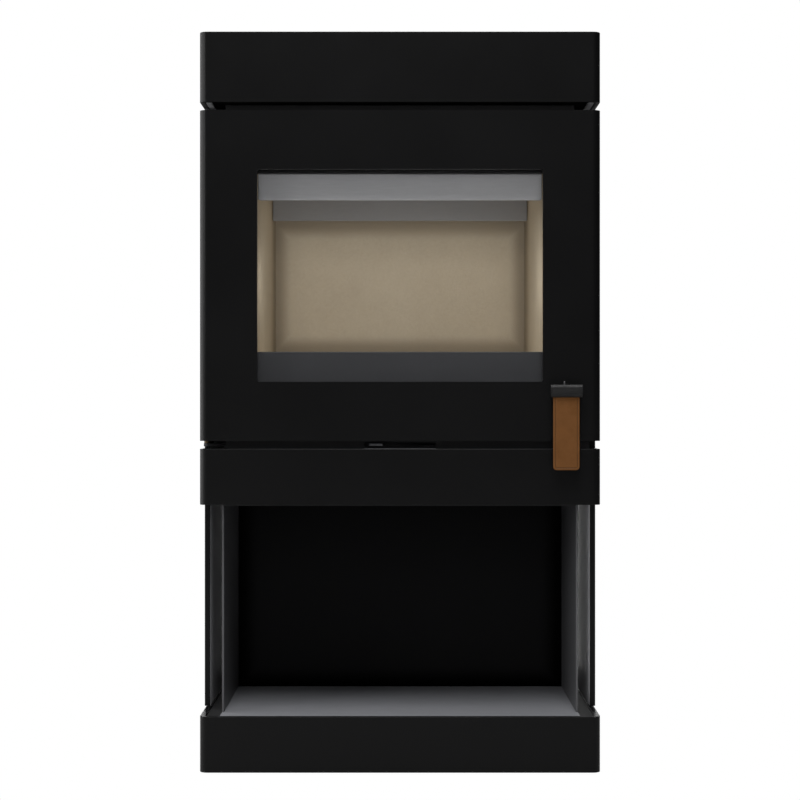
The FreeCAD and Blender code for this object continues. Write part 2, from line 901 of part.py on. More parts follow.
def make_air_wash_deflector():
    y0 = shell_front_y + furniture_gap
    z1 = window_high - deflector_top_drop
    half = window_half_w + deflector_side_reach
    face = block(-half, half, y0, y0 + deflector_thickness, z1 - deflector_height, z1)
    face = round_edges(face, deflector_corner_radius, V(0, 1, 0), lambda p: p.z < z1 - deflector_height / 2)
    flange = block(-half, half, y0, y0 + deflector_flange, z1 - deflector_thickness, z1)
    return face.fuse(flange).removeSplitter()


def make_deflector_hangers():
    z0 = window_high - deflector_top_drop
    z1 = z_shell_top - shell_thickness
    x = window_half_w * 2 / 3
    y = shell_front_y + furniture_gap + deflector_flange / 2
    return group([rod_z(side * x, y, z0, z1, deflector_rod_radius) for side in (-1, 1)])


def make_rear_air_plate():
    """A plate hung from the baffle's underside, just ahead of the back lining."""
    y1 = liner_y1 - rear_plate_setback
    half = liner_face_x(y1) - furniture_gap
    return block(-half, half, y1 - rear_plate_thickness, y1, window_high - rear_plate_drop, z_baffle)


def make_baffle_rails():
    rails = []
    for side in (-1, 1):
        x0, x1 = span(side, wall_x - baffle_rail_width, wall_x)
        rails.append(block(x0, x1, liner_back_y - baffle_length, liner_back_y, z_rail, z_baffle))
    return group(rails)


def make_baffle():
    half = wall_x - baffle_clearance
    y1 = liner_back_y - baffle_clearance
    return block(-half, half, y1 - baffle_length, y1, z_baffle, z_baffle + baffle_thickness)


# ---------------------------------------------------------------- door
def door_screw_points():
    x = frame_half_w - door_screw_edge_inset
    low = frame_low + door_screw_end_margin
    step = (frame_high - door_screw_end_margin - low) / (door_screw_rows - 1)
    return [(side * x, low + row * step) for side in (-1, 1) for row in range(door_screw_rows)]


def hinge_eye_levels():
    return (z_door, z_door + hinge_eye_height), (z_top_gap - hinge_eye_height, z_top_gap)


def make_door_panel():
    door = front_wrap(z_door, z_top_gap)
    door = door.cut(rounded_y(-window_half_w, window_half_w, front_y - cut_over, door_back_y + cut_over,
                              window_low, window_high, window_corner_radius))
    for z0, z1 in hinge_eye_levels():
        door = door.fuse(rod_z(hinge_x, hinge_y, z0, z1, hinge_eye_radius))
        door = door.cut(rod_z(hinge_x, hinge_y, z0 - cut_over, z1 + cut_over,
                              hinge_pin_radius + hinge_running_clearance))
    for x, z in door_screw_points():
        door = door.cut(rod_y(x, door_back_y - door_screw_bite, door_back_y + cut_over, z, screw_radius))
    return door


def make_glass_gasket():
    return ring_y(glass_half_w, glass_low, glass_high, glass_half_w - gasket_width, glass_low + gasket_width,
                  glass_high - gasket_width, door_back_y, glass_front_y)


def make_door_glass():
    return rounded_y(-glass_half_w, glass_half_w, glass_front_y, glass_back_y, glass_low, glass_high,
                     glass_corner_radius)


def rope_ring(grow, y0, y1, width):
    """A rounded frame that follows the sealing rope, grown outwards by grow."""
    half = rope_half_w + grow
    low = rope_low - grow
    high = rope_high + grow
    return ring_y(half, low, high, half - width, low + width, high - width, y0, y1,
                  rope_corner_radius + grow, rope_corner_radius + grow - width)


def make_door_frame():
    frame = ring_y(frame_half_w, frame_low, frame_high, glass_half_w + glass_side_gap,
                   glass_low - glass_side_gap, glass_high + glass_side_gap, door_back_y, frame_back_y)
    rib_y1 = frame_back_y + rope_channel_depth
    frame = frame.fuse(rope_ring(rope_channel_wall, frame_back_y, rib_y1, rope_channel_wall))
    frame = frame.fuse(rope_ring(-rope_width, frame_back_y, rib_y1, rope_channel_wall))
    for x, z in door_screw_points():
        frame = frame.cut(rod_y(x, door_back_y - cut_over, frame_back_y + cut_over, z, screw_radius))
    for shank in glass_clip_shanks():
        frame = frame.cut(shank)
    return frame


def make_rope_seal():
    return rope_ring(0.0, frame_back_y, frame_back_y + rope_depth, rope_width)


def make_door_screws():
    grip = door_frame_thickness + door_screw_bite
    return group([screw_y(x, frame_back_y, z, grip, 1) for x, z in door_screw_points()])


def glass_clip_spots():
    """Middle, half sizes and outward direction of each clip that laps the glass."""
    spots = []
    for side in (-1, 1):
        edge_z = glass_high + clip_lap if side > 0 else glass_low - clip_lap
        for x in (-clip_spread, clip_spread):
            spots.append((x, edge_z, clip_length / 2, clip_width / 2, 0, side))
        edge_x = side * (glass_half_w + clip_lap)
        spots.append((edge_x, (glass_low + glass_high) / 2, clip_width / 2, clip_length / 2, side, 0))
    return spots


def glass_clip_screw_points():
    points = []
    for x, z, half_x, half_z, out_x, out_z in glass_clip_spots():
        points.append((x + out_x * clip_screw_offset, z + out_z * clip_screw_offset))
    return points


def glass_clip_shanks():
    y0 = door_back_y + clip_thickness
    y1 = frame_back_y + clip_thickness
    return [rod_y(x, y0, y1, z, clip_screw_radius) for x, z in glass_clip_screw_points()]


def make_glass_clips():
    clips = []
    for spot, shank in zip(glass_clip_spots(), glass_clip_shanks()):
        x, z, half_x, half_z = spot[:4]
        clip = rounded_y(x - half_x, x + half_x, frame_back_y, frame_back_y + clip_thickness,
                         z - half_z, z + half_z, clip_corner_radius)
        clips.append(clip.cut(shank))
    return group(clips)


def make_glass_clip_screws():
    screws = []
    y0 = frame_back_y + clip_thickness
    for point, shank in zip(glass_clip_screw_points(), glass_clip_shanks()):
        x, z = point
        screws.append(shank.fuse(rod_y(x, y0, y0 + clip_head_height, z, clip_head_radius)))
    return group(screws)


# ---------------------------------------------------------------- hinge
def bracket_level(lower):
    if lower:
        return z_door - washer_thickness - fit_gap - hinge_bracket_thickness
    return z_top_gap + washer_thickness + fit_gap


def make_hinge_bracket(lower):
    z0 = bracket_level(lower)
    z1 = z0 + hinge_bracket_thickness
    root_x = -firebox_half_w if lower else hinge_root_inset - firebox_half_w
    back = hinge_y + hinge_bracket_arm
    eye = rod_z(hinge_x, hinge_y, z0, z1, hinge_eye_radius)
    points = [(hinge_x, hinge_y - hinge_eye_radius), (root_x, hinge_y - hinge_eye_radius), (root_x, back),
              (hinge_x + hinge_shoulder, back), (hinge_x, hinge_y + hinge_eye_radius)]
    seat = z_chassis_top if lower else z_shell_top
    foot = block(root_x - hinge_foot_width, root_x, hinge_y - hinge_eye_radius, back, seat, z0 + cut_over)
    bracket = eye.fuse(prism_z(points, z0, z1)).fuse(foot).removeSplitter()
    return bracket.cut(rod_z(hinge_x, hinge_y, z0 - cut_over, z1 + cut_over, hinge_pin_radius))


def make_hinge_pins():
    low = rod_z(hinge_x, hinge_y, bracket_level(True), z_door + hinge_eye_height - hinge_pin_end_gap,
                hinge_pin_radius)
    high = rod_z(hinge_x, hinge_y, z_top_gap - hinge_eye_height + hinge_pin_end_gap,
                 bracket_level(False) + hinge_bracket_thickness, hinge_pin_radius)
    return group([low, high])


def make_hinge_washers():
    washers = []
    for z0 in (bracket_level(True) + hinge_bracket_thickness, bracket_level(False) - washer_thickness):
        ring = rod_z(hinge_x, hinge_y, z0, z0 + washer_thickness, washer_radius)
        washers.append(ring.cut(rod_z(hinge_x, hinge_y, z0 - cut_over, z0 + washer_thickness + cut_over,
                                      hinge_pin_radius)))
    return group(washers)


# ---------------------------------------------------------------- latch
def make_latch_tongue():
    z0 = bar_mid_z - latch_tongue_thickness / 2
    z1 = z0 + latch_tongue_thickness
    tongue = block(latch_x0, latch_x1, frame_back_y, frame_back_y + latch_tongue_reach, z0, z1)
    foot = block(latch_x0, latch_x1, frame_back_y, frame_back_y + latch_foot_thickness,
                 z0 - latch_foot_reach, z1 + latch_foot_reach)
    return tongue.fuse(foot).removeSplitter()


def make_latch_catch():
    low = bar_mid_z - latch_tongue_thickness / 2 - latch_clearance
    high = bar_mid_z + latch_tongue_thickness / 2 + latch_clearance
    foot = low - latch_prong
    head = high + latch_prong
    x0 = latch_x0 - latch_catch_lead
    y0 = front_plate_y + latch_catch_lead
    web_y0 = frame_back_y + latch_tongue_reach + latch_web_gap
    web_y1 = web_y0 + latch_web_thickness
    body = block(x0, latch_x1, y0, web_y1, foot, low)
    body = body.fuse(block(x0, latch_x1, y0, web_y1, high, head))
    body = body.fuse(block(x0, latch_x1, web_y0, web_y1, foot, head))
    arm = block(firebox_half_w, latch_x0 - latch_arm_gap, web_y0 - latch_web_thickness, web_y1, foot, head)
    return body.fuse(arm).removeSplitter()


# ---------------------------------------------------------------- handle
def make_handle_lug():
    flange = rod_y(handle_x, front_y - lug_flange_thickness, front_y, handle_axis_z, lug_flange_radius)
    stem = rod_y(handle_x, bar_y, front_y, handle_axis_z, lug_radius)
    slice_box = block(handle_x - lug_width / 2, handle_x + lug_width / 2, bar_y - lug_radius, front_y,
                      handle_axis_z - lug_radius, handle_axis_z + lug_radius)
    eye = rod_x(handle_x - lug_width / 2, handle_x + lug_width / 2, bar_y, handle_axis_z, lug_radius)
    lug = flange.fuse(stem.common(slice_box)).fuse(eye)
    lug = lug.cut(rod_x(handle_x - lug_width, handle_x + lug_width, bar_y, handle_axis_z,
                        handle_pin_radius + hinge_running_clearance))
    return lug.cut(lug_grub_screw())


def lug_grub_screw():
    y = front_y - lug_flange_thickness - grub_screw_setback
    return rod_z(handle_x - grub_screw_offset, y, handle_axis_z, handle_axis_z + grub_screw_height,
                 grub_screw_radius)


def make_handle_bar():
    y0 = bar_y - handle_bar_depth / 2
    y1 = bar_y + handle_bar_depth / 2
    bar = round_edges(block(handle_x - bar_half_w, handle_x + bar_half_w, y0, y1, bar_low, bar_high),
                      handle_bar_edge_radius, V(1, 0, 0), everywhere)
    room = lug_radius + lug_room
    slot_half = lug_width / 2 + lug_side_gap
    bar = bar.cut(block(handle_x - slot_half, handle_x + slot_half, bar_y - room, y1 + cut_over,
                        handle_axis_z - room, bar_high + cut_over))
    bar = bar.cut(make_handle_pin())
    bar = bar.cut(block(handle_x - strap_width / 2, handle_x + strap_width / 2, bar_y - strap_layer,
                        bar_y + strap_layer, bar_low - cut_over, bar_low + strap_grip))
    for screw in strap_screw_shanks():
        bar = bar.cut(screw)
    return bar


def make_handle_pin():
    half = bar_half_w - handle_pin_end_cover
    return rod_x(handle_x - half, handle_x + half, bar_y, handle_axis_z, handle_pin_radius)


def strap_screw_shanks():
    z = bar_low + strap_grip / 2
    front = bar_y - strap_layer - strap_screw_lead
    back = bar_y + handle_bar_depth / 2 - strap_screw_end_cover
    spots = (handle_x - strap_screw_spread, handle_x + strap_screw_spread)
    return [rod_y(x, front, back, z, strap_screw_radius) for x in spots]


def make_strap_layer(front):
    z1 = bar_low + strap_grip
    y0 = bar_y - strap_layer if front else bar_y
    layer = block(handle_x - strap_width / 2, handle_x + strap_width / 2, y0, y0 + strap_layer,
                  z1 - strap_length, z1)
    layer = round_edges(layer, strap_corner_radius, V(0, 1, 0), lambda p: p.z < bar_low)
    for screw in strap_screw_shanks():
        layer = layer.cut(screw)
    return layer


# ---------------------------------------------------------------- write every piece
def make_levelling_feet():
    return group(make_levelling_screws().Solids + make_levelling_nuts().Solids)


def make_top_posts():
    return group(make_shield_posts().Solids + make_cap_posts().Solids)


def make_panel_brackets():
    return group(make_plinth_ledges().Solids + make_band_brackets().Solids + make_panel_hangers().Solids)


def make_baffle_supports():
    return group(make_baffle_rails().Solids + make_deflector_hangers().Solids)


def make_all_door_screws():
    return group(make_door_screws().Solids + make_glass_clip_screws().Solids + [lug_grub_screw()])


def main():
    os.makedirs("parts", exist_ok=True)
    save("base_plinth", make_base_plinth())
    save("levelling_feet", make_levelling_feet())
    save("log_store_floor", make_log_store_floor())
    save("log_store_left_wall", make_log_store_wall(-1))
    save("log_store_right_wall", make_log_store_wall(1))
    save("log_store_back", make_log_store_back())
    save("log_store_ceiling", make_log_store_ceiling())
    save("side_panel_left", make_side_panel(-1))
    save("side_panel_right", make_side_panel(1))
    save("rear_panel", make_rear_panel())
    save("rear_panel_screws", make_rear_screws())
    save("lower_front_band", make_front_band())
    save("panel_brackets", make_panel_brackets())
    save("top_cap", make_cap())
    save("cap_heat_shield", make_cap_heat_shield())
    save("edge_strips", make_edge_strips())
    save("cap_posts", make_top_posts())
    save("chassis_plate", make_chassis_plate())
    save("chassis_legs", make_chassis_legs())
    save("air_box", make_air_box())
    save("air_spigot", make_air_spigot())
    save("air_slider", make_air_slider())
    save("air_slider_cap", make_air_slider_cap())
    save("air_slider_guide", make_slider_guide())
    save("firebox_front", make_firebox_front())
    save("firebox_left_wall", make_firebox_wall(-1))
    save("firebox_right_wall", make_firebox_wall(1))
    save("firebox_back", make_firebox_back())
    save("firebox_floor", make_firebox_floor())
    save("firebox_top", make_firebox_top())
    save("flue_collar", make_flue_collar())
    save("liner_left", make_side_liner(-1))
    save("liner_right", make_side_liner(1))
    save("liner_back", make_back_liner())
    save("liner_base", make_base_liner())
    save("grate_support", make_grate_support())
    save("fire_grate", make_grate())
    save("ash_pan", make_ash_pan())
    save("log_retainer", make_log_retainer())
    save("air_wash_deflector", make_air_wash_deflector())
    save("rear_air_plate", make_rear_air_plate())
    save("baffle_supports", make_baffle_supports())
    save("upper_baffle", make_baffle())
    save("door_panel", make_door_panel())
    save("door_inner_frame", make_door_frame())
    save("door_glass", make_door_glass())
    save("glass_gasket", make_glass_gasket())
    save("glass_clips", make_glass_clips())
    save("door_rope_seal", make_rope_seal())
    save("door_screws", make_all_door_screws())
    save("hinge_brackets", group([make_hinge_bracket(True), make_hinge_bracket(False)]))
    save("hinge_pins", make_hinge_pins())
    save("hinge_washers", make_hinge_washers())
    save("latch_tongue", make_latch_tongue())
    save("latch_catch", make_latch_catch())
    save("handle_lug", make_handle_lug())
    save("handle_bar", make_handle_bar())
    save("handle_pin", make_handle_pin())
    save("leather_strap", group([make_strap_layer(True), make_strap_layer(False)]))
    save("strap_screws", group(strap_screw_shanks()))


main()
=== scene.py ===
import json
import math

import bmesh
import bpy
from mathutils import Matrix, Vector

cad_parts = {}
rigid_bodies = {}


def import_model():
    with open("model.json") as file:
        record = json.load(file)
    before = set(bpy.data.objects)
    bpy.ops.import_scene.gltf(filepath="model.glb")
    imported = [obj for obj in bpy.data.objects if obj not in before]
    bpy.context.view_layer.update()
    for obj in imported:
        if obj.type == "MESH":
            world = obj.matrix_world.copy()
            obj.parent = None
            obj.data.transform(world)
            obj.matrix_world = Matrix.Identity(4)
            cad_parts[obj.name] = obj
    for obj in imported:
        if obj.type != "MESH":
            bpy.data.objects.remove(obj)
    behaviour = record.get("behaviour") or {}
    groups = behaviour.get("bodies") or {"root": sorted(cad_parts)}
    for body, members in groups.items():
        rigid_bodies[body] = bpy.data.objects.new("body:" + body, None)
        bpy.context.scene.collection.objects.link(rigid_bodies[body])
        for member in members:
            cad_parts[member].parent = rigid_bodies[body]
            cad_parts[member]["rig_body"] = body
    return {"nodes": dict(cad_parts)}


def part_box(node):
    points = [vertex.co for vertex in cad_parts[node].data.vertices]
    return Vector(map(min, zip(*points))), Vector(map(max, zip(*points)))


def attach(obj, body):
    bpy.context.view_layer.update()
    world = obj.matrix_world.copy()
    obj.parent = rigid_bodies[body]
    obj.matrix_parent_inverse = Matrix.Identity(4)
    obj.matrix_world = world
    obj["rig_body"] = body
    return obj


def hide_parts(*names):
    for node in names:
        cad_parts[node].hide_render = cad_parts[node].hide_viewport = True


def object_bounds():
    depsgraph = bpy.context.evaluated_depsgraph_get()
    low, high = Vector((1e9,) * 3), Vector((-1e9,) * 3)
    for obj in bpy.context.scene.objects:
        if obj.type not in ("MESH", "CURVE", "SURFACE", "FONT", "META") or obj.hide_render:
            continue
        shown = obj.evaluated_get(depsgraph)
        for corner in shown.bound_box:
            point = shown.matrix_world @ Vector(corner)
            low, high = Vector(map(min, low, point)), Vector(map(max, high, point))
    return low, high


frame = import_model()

bl_info = {
    "name": "Log store stove",
    "version": (1, 0, 0),
    "blender": (4, 5, 0),
    "location": "3D View > Sidebar > Stove",
    "description": "Builds the finished surfaces of a wood burning stove around its frame",
    "category": "Add Mesh",
}

CAD_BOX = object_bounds()
NODES = frame["nodes"]
MM = 0.001
SHARP_ANGLE = math.radians(38)
FLAT_ANGLE = math.radians(0.6)
SQUARE_ON = 0.9                 # how nearly a face must look along an axis to count as facing it


# ------------------------------------------------------------------ sizes and colours
class StoveSizes(bpy.types.PropertyGroup):
    casing_edge: bpy.props.FloatProperty(
        name="Casing edge", description="Rounding of the casing's edges", default=0.0006, unit="LENGTH")
    sheet_edge: bpy.props.FloatProperty(
        name="Sheet edge", description="Rounding of thin sheet edges", default=0.0004, unit="LENGTH")
    board_edge: bpy.props.FloatProperty(
        name="Board edge", description="Rounding of the lining boards' edges", default=0.0015, unit="LENGTH")
    cast_edge: bpy.props.FloatProperty(
        name="Cast edge", description="Rounding of cast pieces' edges", default=0.0012, unit="LENGTH")
    stitch_pitch: bpy.props.FloatProperty(
        name="Stitch pitch", description="From one stitch to the next", default=0.0036, unit="LENGTH")
    seam_inset: bpy.props.FloatProperty(
        name="Seam inset", description="How far the strap's seam runs inside its edge", default=0.0028,
        unit="LENGTH")
    camera_height: bpy.props.FloatProperty(
        name="Camera height", description="Lens height above the floor", default=0.46624, unit="LENGTH")
    camera_distance: bpy.props.FloatProperty(
        name="Camera distance", description="From the lens to the front of the casing", default=2.3618,
        unit="LENGTH")


def colour(name, description, default):
    return bpy.props.FloatVectorProperty(
        name=name, description=description, default=default, subtype="COLOR", size=3, min=0.0, max=1.0)


class StoveColours(bpy.types.PropertyGroup):
    paint: colour("Paint", "Matt black stove paint", (0.0018, 0.0018, 0.0019))
    inner_paint: colour("Inner paint", "Plain black on hidden steel", (0.006, 0.006, 0.0063))
    floor_plate: colour("Floor plate", "Grey finish of the log store's floor", (0.17, 0.173, 0.186))
    lining_grey: colour("Inner grey", "Grey primer inside the side panels", (0.42, 0.42, 0.44))
    # the edge strips are bare steel lips; this pale tone lifts them further, as painted light from below
    primer: colour("Pale strip tone", "Pale tone of the edge strips, with painted light", (0.58, 0.58, 0.6))
    bare_steel: colour("Bare steel", "Rolled heat-resistant steel", (0.44, 0.44, 0.45))
    cast: colour("Cast iron", "Dark sand-cast iron", (0.023, 0.0237, 0.0262))
    board: colour("Lining board", "Pressed vermiculite board", (0.66, 0.575, 0.44))
    board_flake: colour("Board flakes", "Darker flakes in the lining board", (0.49, 0.41, 0.30))
    rope: colour("Rope", "Glass-fibre sealing rope", (0.10, 0.10, 0.10))
    zinc: colour("Fasteners", "Dark plated fasteners", (0.16, 0.16, 0.165))
    bronze: colour("Bronze", "Oil-darkened hinge washers", (0.05, 0.035, 0.02))
    leather: colour("Leather", "Tan leather of the strap", (0.094, 0.0355, 0.0062))
    thread: colour("Thread", "Waxed thread of the strap's seam", (0.07, 0.029, 0.008))
    stage: colour("Stage", "Pale floor", (0.42, 0.42, 0.42))


def sizes():
    return bpy.context.scene.stove_sizes


def colours():
    return bpy.context.scene.stove_colours


# ------------------------------------------------------------------ shader node groups
def new_group(name, inputs, outputs):
    """A node group with named sockets. inputs and outputs hold (name, kind, default)."""
    group = bpy.data.node_groups.new(name, "ShaderNodeTree")
    for label, kind, default in inputs:
        socket = group.interface.new_socket(name=label, in_out="INPUT", socket_type="NodeSocket" + kind)
        socket.default_value = default
    for label, kind in outputs:
        group.interface.new_socket(name=label, in_out="OUTPUT", socket_type="NodeSocket" + kind)
    start = group.nodes.new("NodeGroupInput")
    end = group.nodes.new("NodeGroupOutput")
    return group, start, end


def add(tree, kind, **settings):
    node = tree.nodes.new(kind)
    for key, value in settings.items():
        setattr(node, key, value)
    return node


def noise(tree, vector, scale, detail, roughness=0.6):
    node = add(tree, "ShaderNodeTexNoise")
    node.inputs["Detail"].default_value = detail
    node.inputs["Roughness"].default_value = roughness
    tree.links.new(vector, node.inputs["Vector"])
    if isinstance(scale, float):
        node.inputs["Scale"].default_value = scale
    else:
        tree.links.new(scale, node.inputs["Scale"])
    return node.outputs["Fac"]


def spread(tree, value, low, high):
    """Stretches the middle of a noise value from low..high to 0..1."""
    node = add(tree, "ShaderNodeMapRange")
    node.inputs["From Min"].default_value = low
    node.inputs["From Max"].default_value = high
    tree.links.new(value, node.inputs["Value"])
    return node.outputs["Result"]


def blend_colour(tree, share, first, second):
    node = add(tree, "ShaderNodeMix", data_type="RGBA")
    tree.links.new(share, node.inputs["Factor"])
    tree.links.new(first, node.inputs["A"])
    tree.links.new(second, node.inputs["B"])
    return node.outputs["Result"]


def blend_value(tree, share, first, second):
    node = add(tree, "ShaderNodeMix", data_type="FLOAT")
    tree.links.new(share, node.inputs["Factor"])
    tree.links.new(first, node.inputs["A"])
    tree.links.new(second, node.inputs["B"])
    return node.outputs["Result"]


def arithmetic(tree, operation, first, second):
    node = add(tree, "ShaderNodeMath", operation=operation)
    for socket, value in zip(node.inputs, (first, second)):
        if isinstance(value, float):
            socket.default_value = value
        else:
            tree.links.new(value, socket)
    return node.outputs["Value"]


def stretched_place(tree, stretch):
    place = add(tree, "ShaderNodeTexCoord").outputs["Object"]
    scaled = add(tree, "ShaderNodeVectorMath", operation="MULTIPLY")
    tree.links.new(place, scaled.inputs[0])
    tree.links.new(stretch, scaled.inputs[1])
    return scaled.outputs["Vector"]


def surface_grain_group():
    """Fine grain with slow cloudy patches over it: paint, castings, boards and rolled sheet."""
    group, start, end = new_group(
        "surface grain",
        [("Colour", "Color", (0.5, 0.5, 0.5, 1)), ("Patch colour", "Color", (0.4, 0.4, 0.4, 1)),
         ("Grain scale", "Float", 900.0), ("Patch scale", "Float", 9.0), ("Stretch", "Vector", (1, 1, 1)),
         ("Rough low", "Float", 0.4), ("Rough high", "Float", 0.6)],
        [("Colour", "Color"), ("Roughness", "Float"), ("Height", "Float")])
    place = stretched_place(group, start.outputs["Stretch"])
    grain = noise(group, place, start.outputs["Grain scale"], 3.0)
    patch = spread(group, noise(group, place, start.outputs["Patch scale"], 4.0), 0.35, 0.65)
    fine = spread(group, grain, 0.3, 0.7)
    share = arithmetic(group, "MULTIPLY", arithmetic(group, "ADD", patch, fine), 0.5)
    group.links.new(blend_colour(group, share, start.outputs["Colour"], start.outputs["Patch colour"]),
                    end.inputs["Colour"])
    group.links.new(blend_value(group, share, start.outputs["Rough low"], start.outputs["Rough high"]),
                    end.inputs["Roughness"])
    group.links.new(grain, end.inputs["Height"])
    return group


def flake_group():
    """Pressed flakes of two tones in a pale board."""
    group, start, end = new_group(
        "board flakes",
        [("Colour", "Color", (0.6, 0.5, 0.4, 1)), ("Flake colour", "Color", (0.4, 0.3, 0.2, 1)),
         ("Flake scale", "Float", 420.0), ("Flake share", "Float", 0.4)],
        [("Colour", "Color"), ("Height", "Float")])
    place = add(group, "ShaderNodeTexCoord").outputs["Object"]
    cells = add(group, "ShaderNodeTexVoronoi", feature="F1")
    group.links.new(place, cells.inputs["Vector"])
    group.links.new(start.outputs["Flake scale"], cells.inputs["Scale"])
    tone = spread(group, cells.outputs["Color"], 0.0, 1.0)
    cloud = spread(group, noise(group, place, 14.0, 4.0), 0.3, 0.7)
    mixed = arithmetic(group, "MULTIPLY", arithmetic(group, "ADD", tone, cloud), 0.5)
    share = arithmetic(group, "MULTIPLY", mixed, start.outputs["Flake share"])
    group.links.new(blend_colour(group, share, start.outputs["Colour"], start.outputs["Flake colour"]),
                    end.inputs["Colour"])
    group.links.new(arithmetic(group, "SUBTRACT", tone, cells.outputs["Distance"]), end.inputs["Height"])
    return group


def hide_group():
    """Leather: pores over slow tonal clouds, with darker creases along the cell borders."""
    group, start, end = new_group(
        "leather hide",
        [("Colour", "Color", (0.3, 0.15, 0.05, 1)), ("Shade", "Color", (0.2, 0.1, 0.03, 1)),
         ("Pore scale", "Float", 900.0), ("Cloud scale", "Float", 40.0)],
        [("Colour", "Color"), ("Roughness", "Float"), ("Height", "Float")])
    place = add(group, "ShaderNodeTexCoord").outputs["Object"]
    cells = add(group, "ShaderNodeTexVoronoi", feature="DISTANCE_TO_EDGE")
    group.links.new(place, cells.inputs["Vector"])
    group.links.new(start.outputs["Pore scale"], cells.inputs["Scale"])
    crease = spread(group, cells.outputs["Distance"], 0.0, 0.12)
    cloud = spread(group, noise(group, place, start.outputs["Cloud scale"], 5.0), 0.35, 0.68)
    wide = arithmetic(group, "SUBTRACT", 1.0, crease)
    share = arithmetic(group, "ADD", arithmetic(group, "MULTIPLY", wide, 0.35),
                       arithmetic(group, "MULTIPLY", cloud, 0.5))
    group.links.new(blend_colour(group, share, start.outputs["Colour"], start.outputs["Shade"]),
                    end.inputs["Colour"])
    group.links.new(spread(group, cloud, -1.6, 1.6), end.inputs["Roughness"])
    group.links.new(crease, end.inputs["Height"])
    return group


def painted_shade_border_group():
    """Darkens a tone towards the rim of a box-shaped region: painted shade, as shade gathers in corners."""
    group, start, end = new_group(
        "painted shade border",
        [("Colour", "Color", (0.6, 0.5, 0.4, 1)), ("Soot colour", "Color", (0.1, 0.1, 0.1, 1)),
         ("Middle", "Vector", (0, 0, 0)), ("Reach", "Vector", (1, 1, 1)), ("Softness", "Float", 0.03)],
        [("Colour", "Color")])
    place = add(group, "ShaderNodeTexCoord").outputs["Object"]
    offset = add(group, "ShaderNodeVectorMath", operation="SUBTRACT")
    group.links.new(place, offset.inputs[0])
    group.links.new(start.outputs["Middle"], offset.inputs[1])
    size = add(group, "ShaderNodeVectorMath", operation="ABSOLUTE")
    group.links.new(offset.outputs["Vector"], size.inputs[0])
    inside = add(group, "ShaderNodeVectorMath", operation="SUBTRACT")
    group.links.new(start.outputs["Reach"], inside.inputs[0])
    group.links.new(size.outputs["Vector"], inside.inputs[1])
    split = add(group, "ShaderNodeSeparateXYZ")
    group.links.new(inside.outputs["Vector"], split.inputs["Vector"])
    nearest = arithmetic(group, "MINIMUM", split.outputs["X"], split.outputs["Y"])
    nearest = arithmetic(group, "MINIMUM", nearest, split.outputs["Z"])
    clear = add(group, "ShaderNodeMapRange", interpolation_type="SMOOTHERSTEP")
    group.links.new(nearest, clear.inputs["Value"])
    group.links.new(start.outputs["Softness"], clear.inputs["From Max"])
    # painted shade: the tone gives way to the shade colour near the rim of the region
    group.links.new(blend_colour(group, clear.outputs["Result"], start.outputs["Soot colour"],
                                 start.outputs["Colour"]), end.inputs["Colour"])
    return group


def node_group(name):
    makers = {"surface grain": surface_grain_group, "board flakes": flake_group, "leather hide": hide_group,
              "painted shade border": painted_shade_border_group}
    return bpy.data.node_groups.get(name) or makers[name]()


# ------------------------------------------------------------------ materials
def rgba(triple, gain=1.0):
    return tuple(min(1.0, part * gain) for part in triple) + (1.0,)


def scaled(triple, gain):
    return [part * gain for part in triple]


def blank_material(name):
    material = bpy.data.materials.new(name)
    material.use_nodes = True
    shader = material.node_tree.nodes["Principled BSDF"]
    return material, material.node_tree, shader


def place_group(tree, name, **values):
    node = tree.nodes.new("ShaderNodeGroup")
    node.node_tree = node_group(name)
    for label, value in values.items():
        node.inputs[label.replace("_", " ").capitalize()].default_value = value
    return node


def add_bump(tree, shader, height, strength, depth):
    bump = tree.nodes.new("ShaderNodeBump")
    bump.inputs["Strength"].default_value = strength
    bump.inputs["Distance"].default_value = depth
    tree.links.new(height, bump.inputs["Height"])
    tree.links.new(bump.outputs["Normal"], shader.inputs["Normal"])


def grained(name, tint, patch_gain, grain, patch, rough, metallic=0.0, specular=0.5, bump=(0.2, 0.0001),
            stretch=(1, 1, 1)):
    """A material on the shared grain: tint and a patch tone, roughness between two values, fine bump."""
    material, tree, shader = blank_material(name)
    group = place_group(tree, "surface grain", Colour=rgba(tint), Patch_colour=rgba(tint, patch_gain),
                        Grain_scale=grain, Patch_scale=patch, Stretch=stretch, Rough_low=rough[0],
                        Rough_high=rough[1])
    tree.links.new(group.outputs["Colour"], shader.inputs["Base Color"])
    tree.links.new(group.outputs["Roughness"], shader.inputs["Roughness"])
    shader.inputs["Metallic"].default_value = metallic
    shader.inputs["Specular IOR Level"].default_value = specular
    add_bump(tree, shader, group.outputs["Height"], *bump)
    return material


def make_paint():
    return grained("matt stove paint", colours().paint, patch_gain=1.25, grain=1500.0, patch=7.0,
                   rough=(0.34, 0.4), specular=0.17, bump=(0.1, 0.00006))


def make_inner_paint():
    return grained("inner black paint", colours().inner_paint, patch_gain=1.3, grain=900.0, patch=12.0,
                   rough=(0.5, 0.65), specular=0.3, bump=(0.25, 0.0002))


def make_store_back_paint():
    """Plain black with painted shade that darkens it towards the walls, the ceiling and the floor of the log
    store.
    """
    material = grained("log store back paint", scaled(colours().paint, 2.5), patch_gain=1.2,
                       grain=1300.0, patch=6.0, rough=(0.3, 0.34), specular=0.02, bump=(0.06, 0.00005))
    low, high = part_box("log_store_back")
    middle = (low + high) / 2
    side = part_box("log_store_right_wall")[0].x
    tree = material.node_tree
    shader = tree.nodes["Principled BSDF"]
    colour = shader.inputs["Base Color"].links[0].from_socket
    # painted shade: darker towards the store's walls, ceiling and floor
    painted_shade_over(tree, shader, colour, rgba(colours().paint, 0.05), middle, (side, 1, (high - low).z / 2), 0.034)
    return material


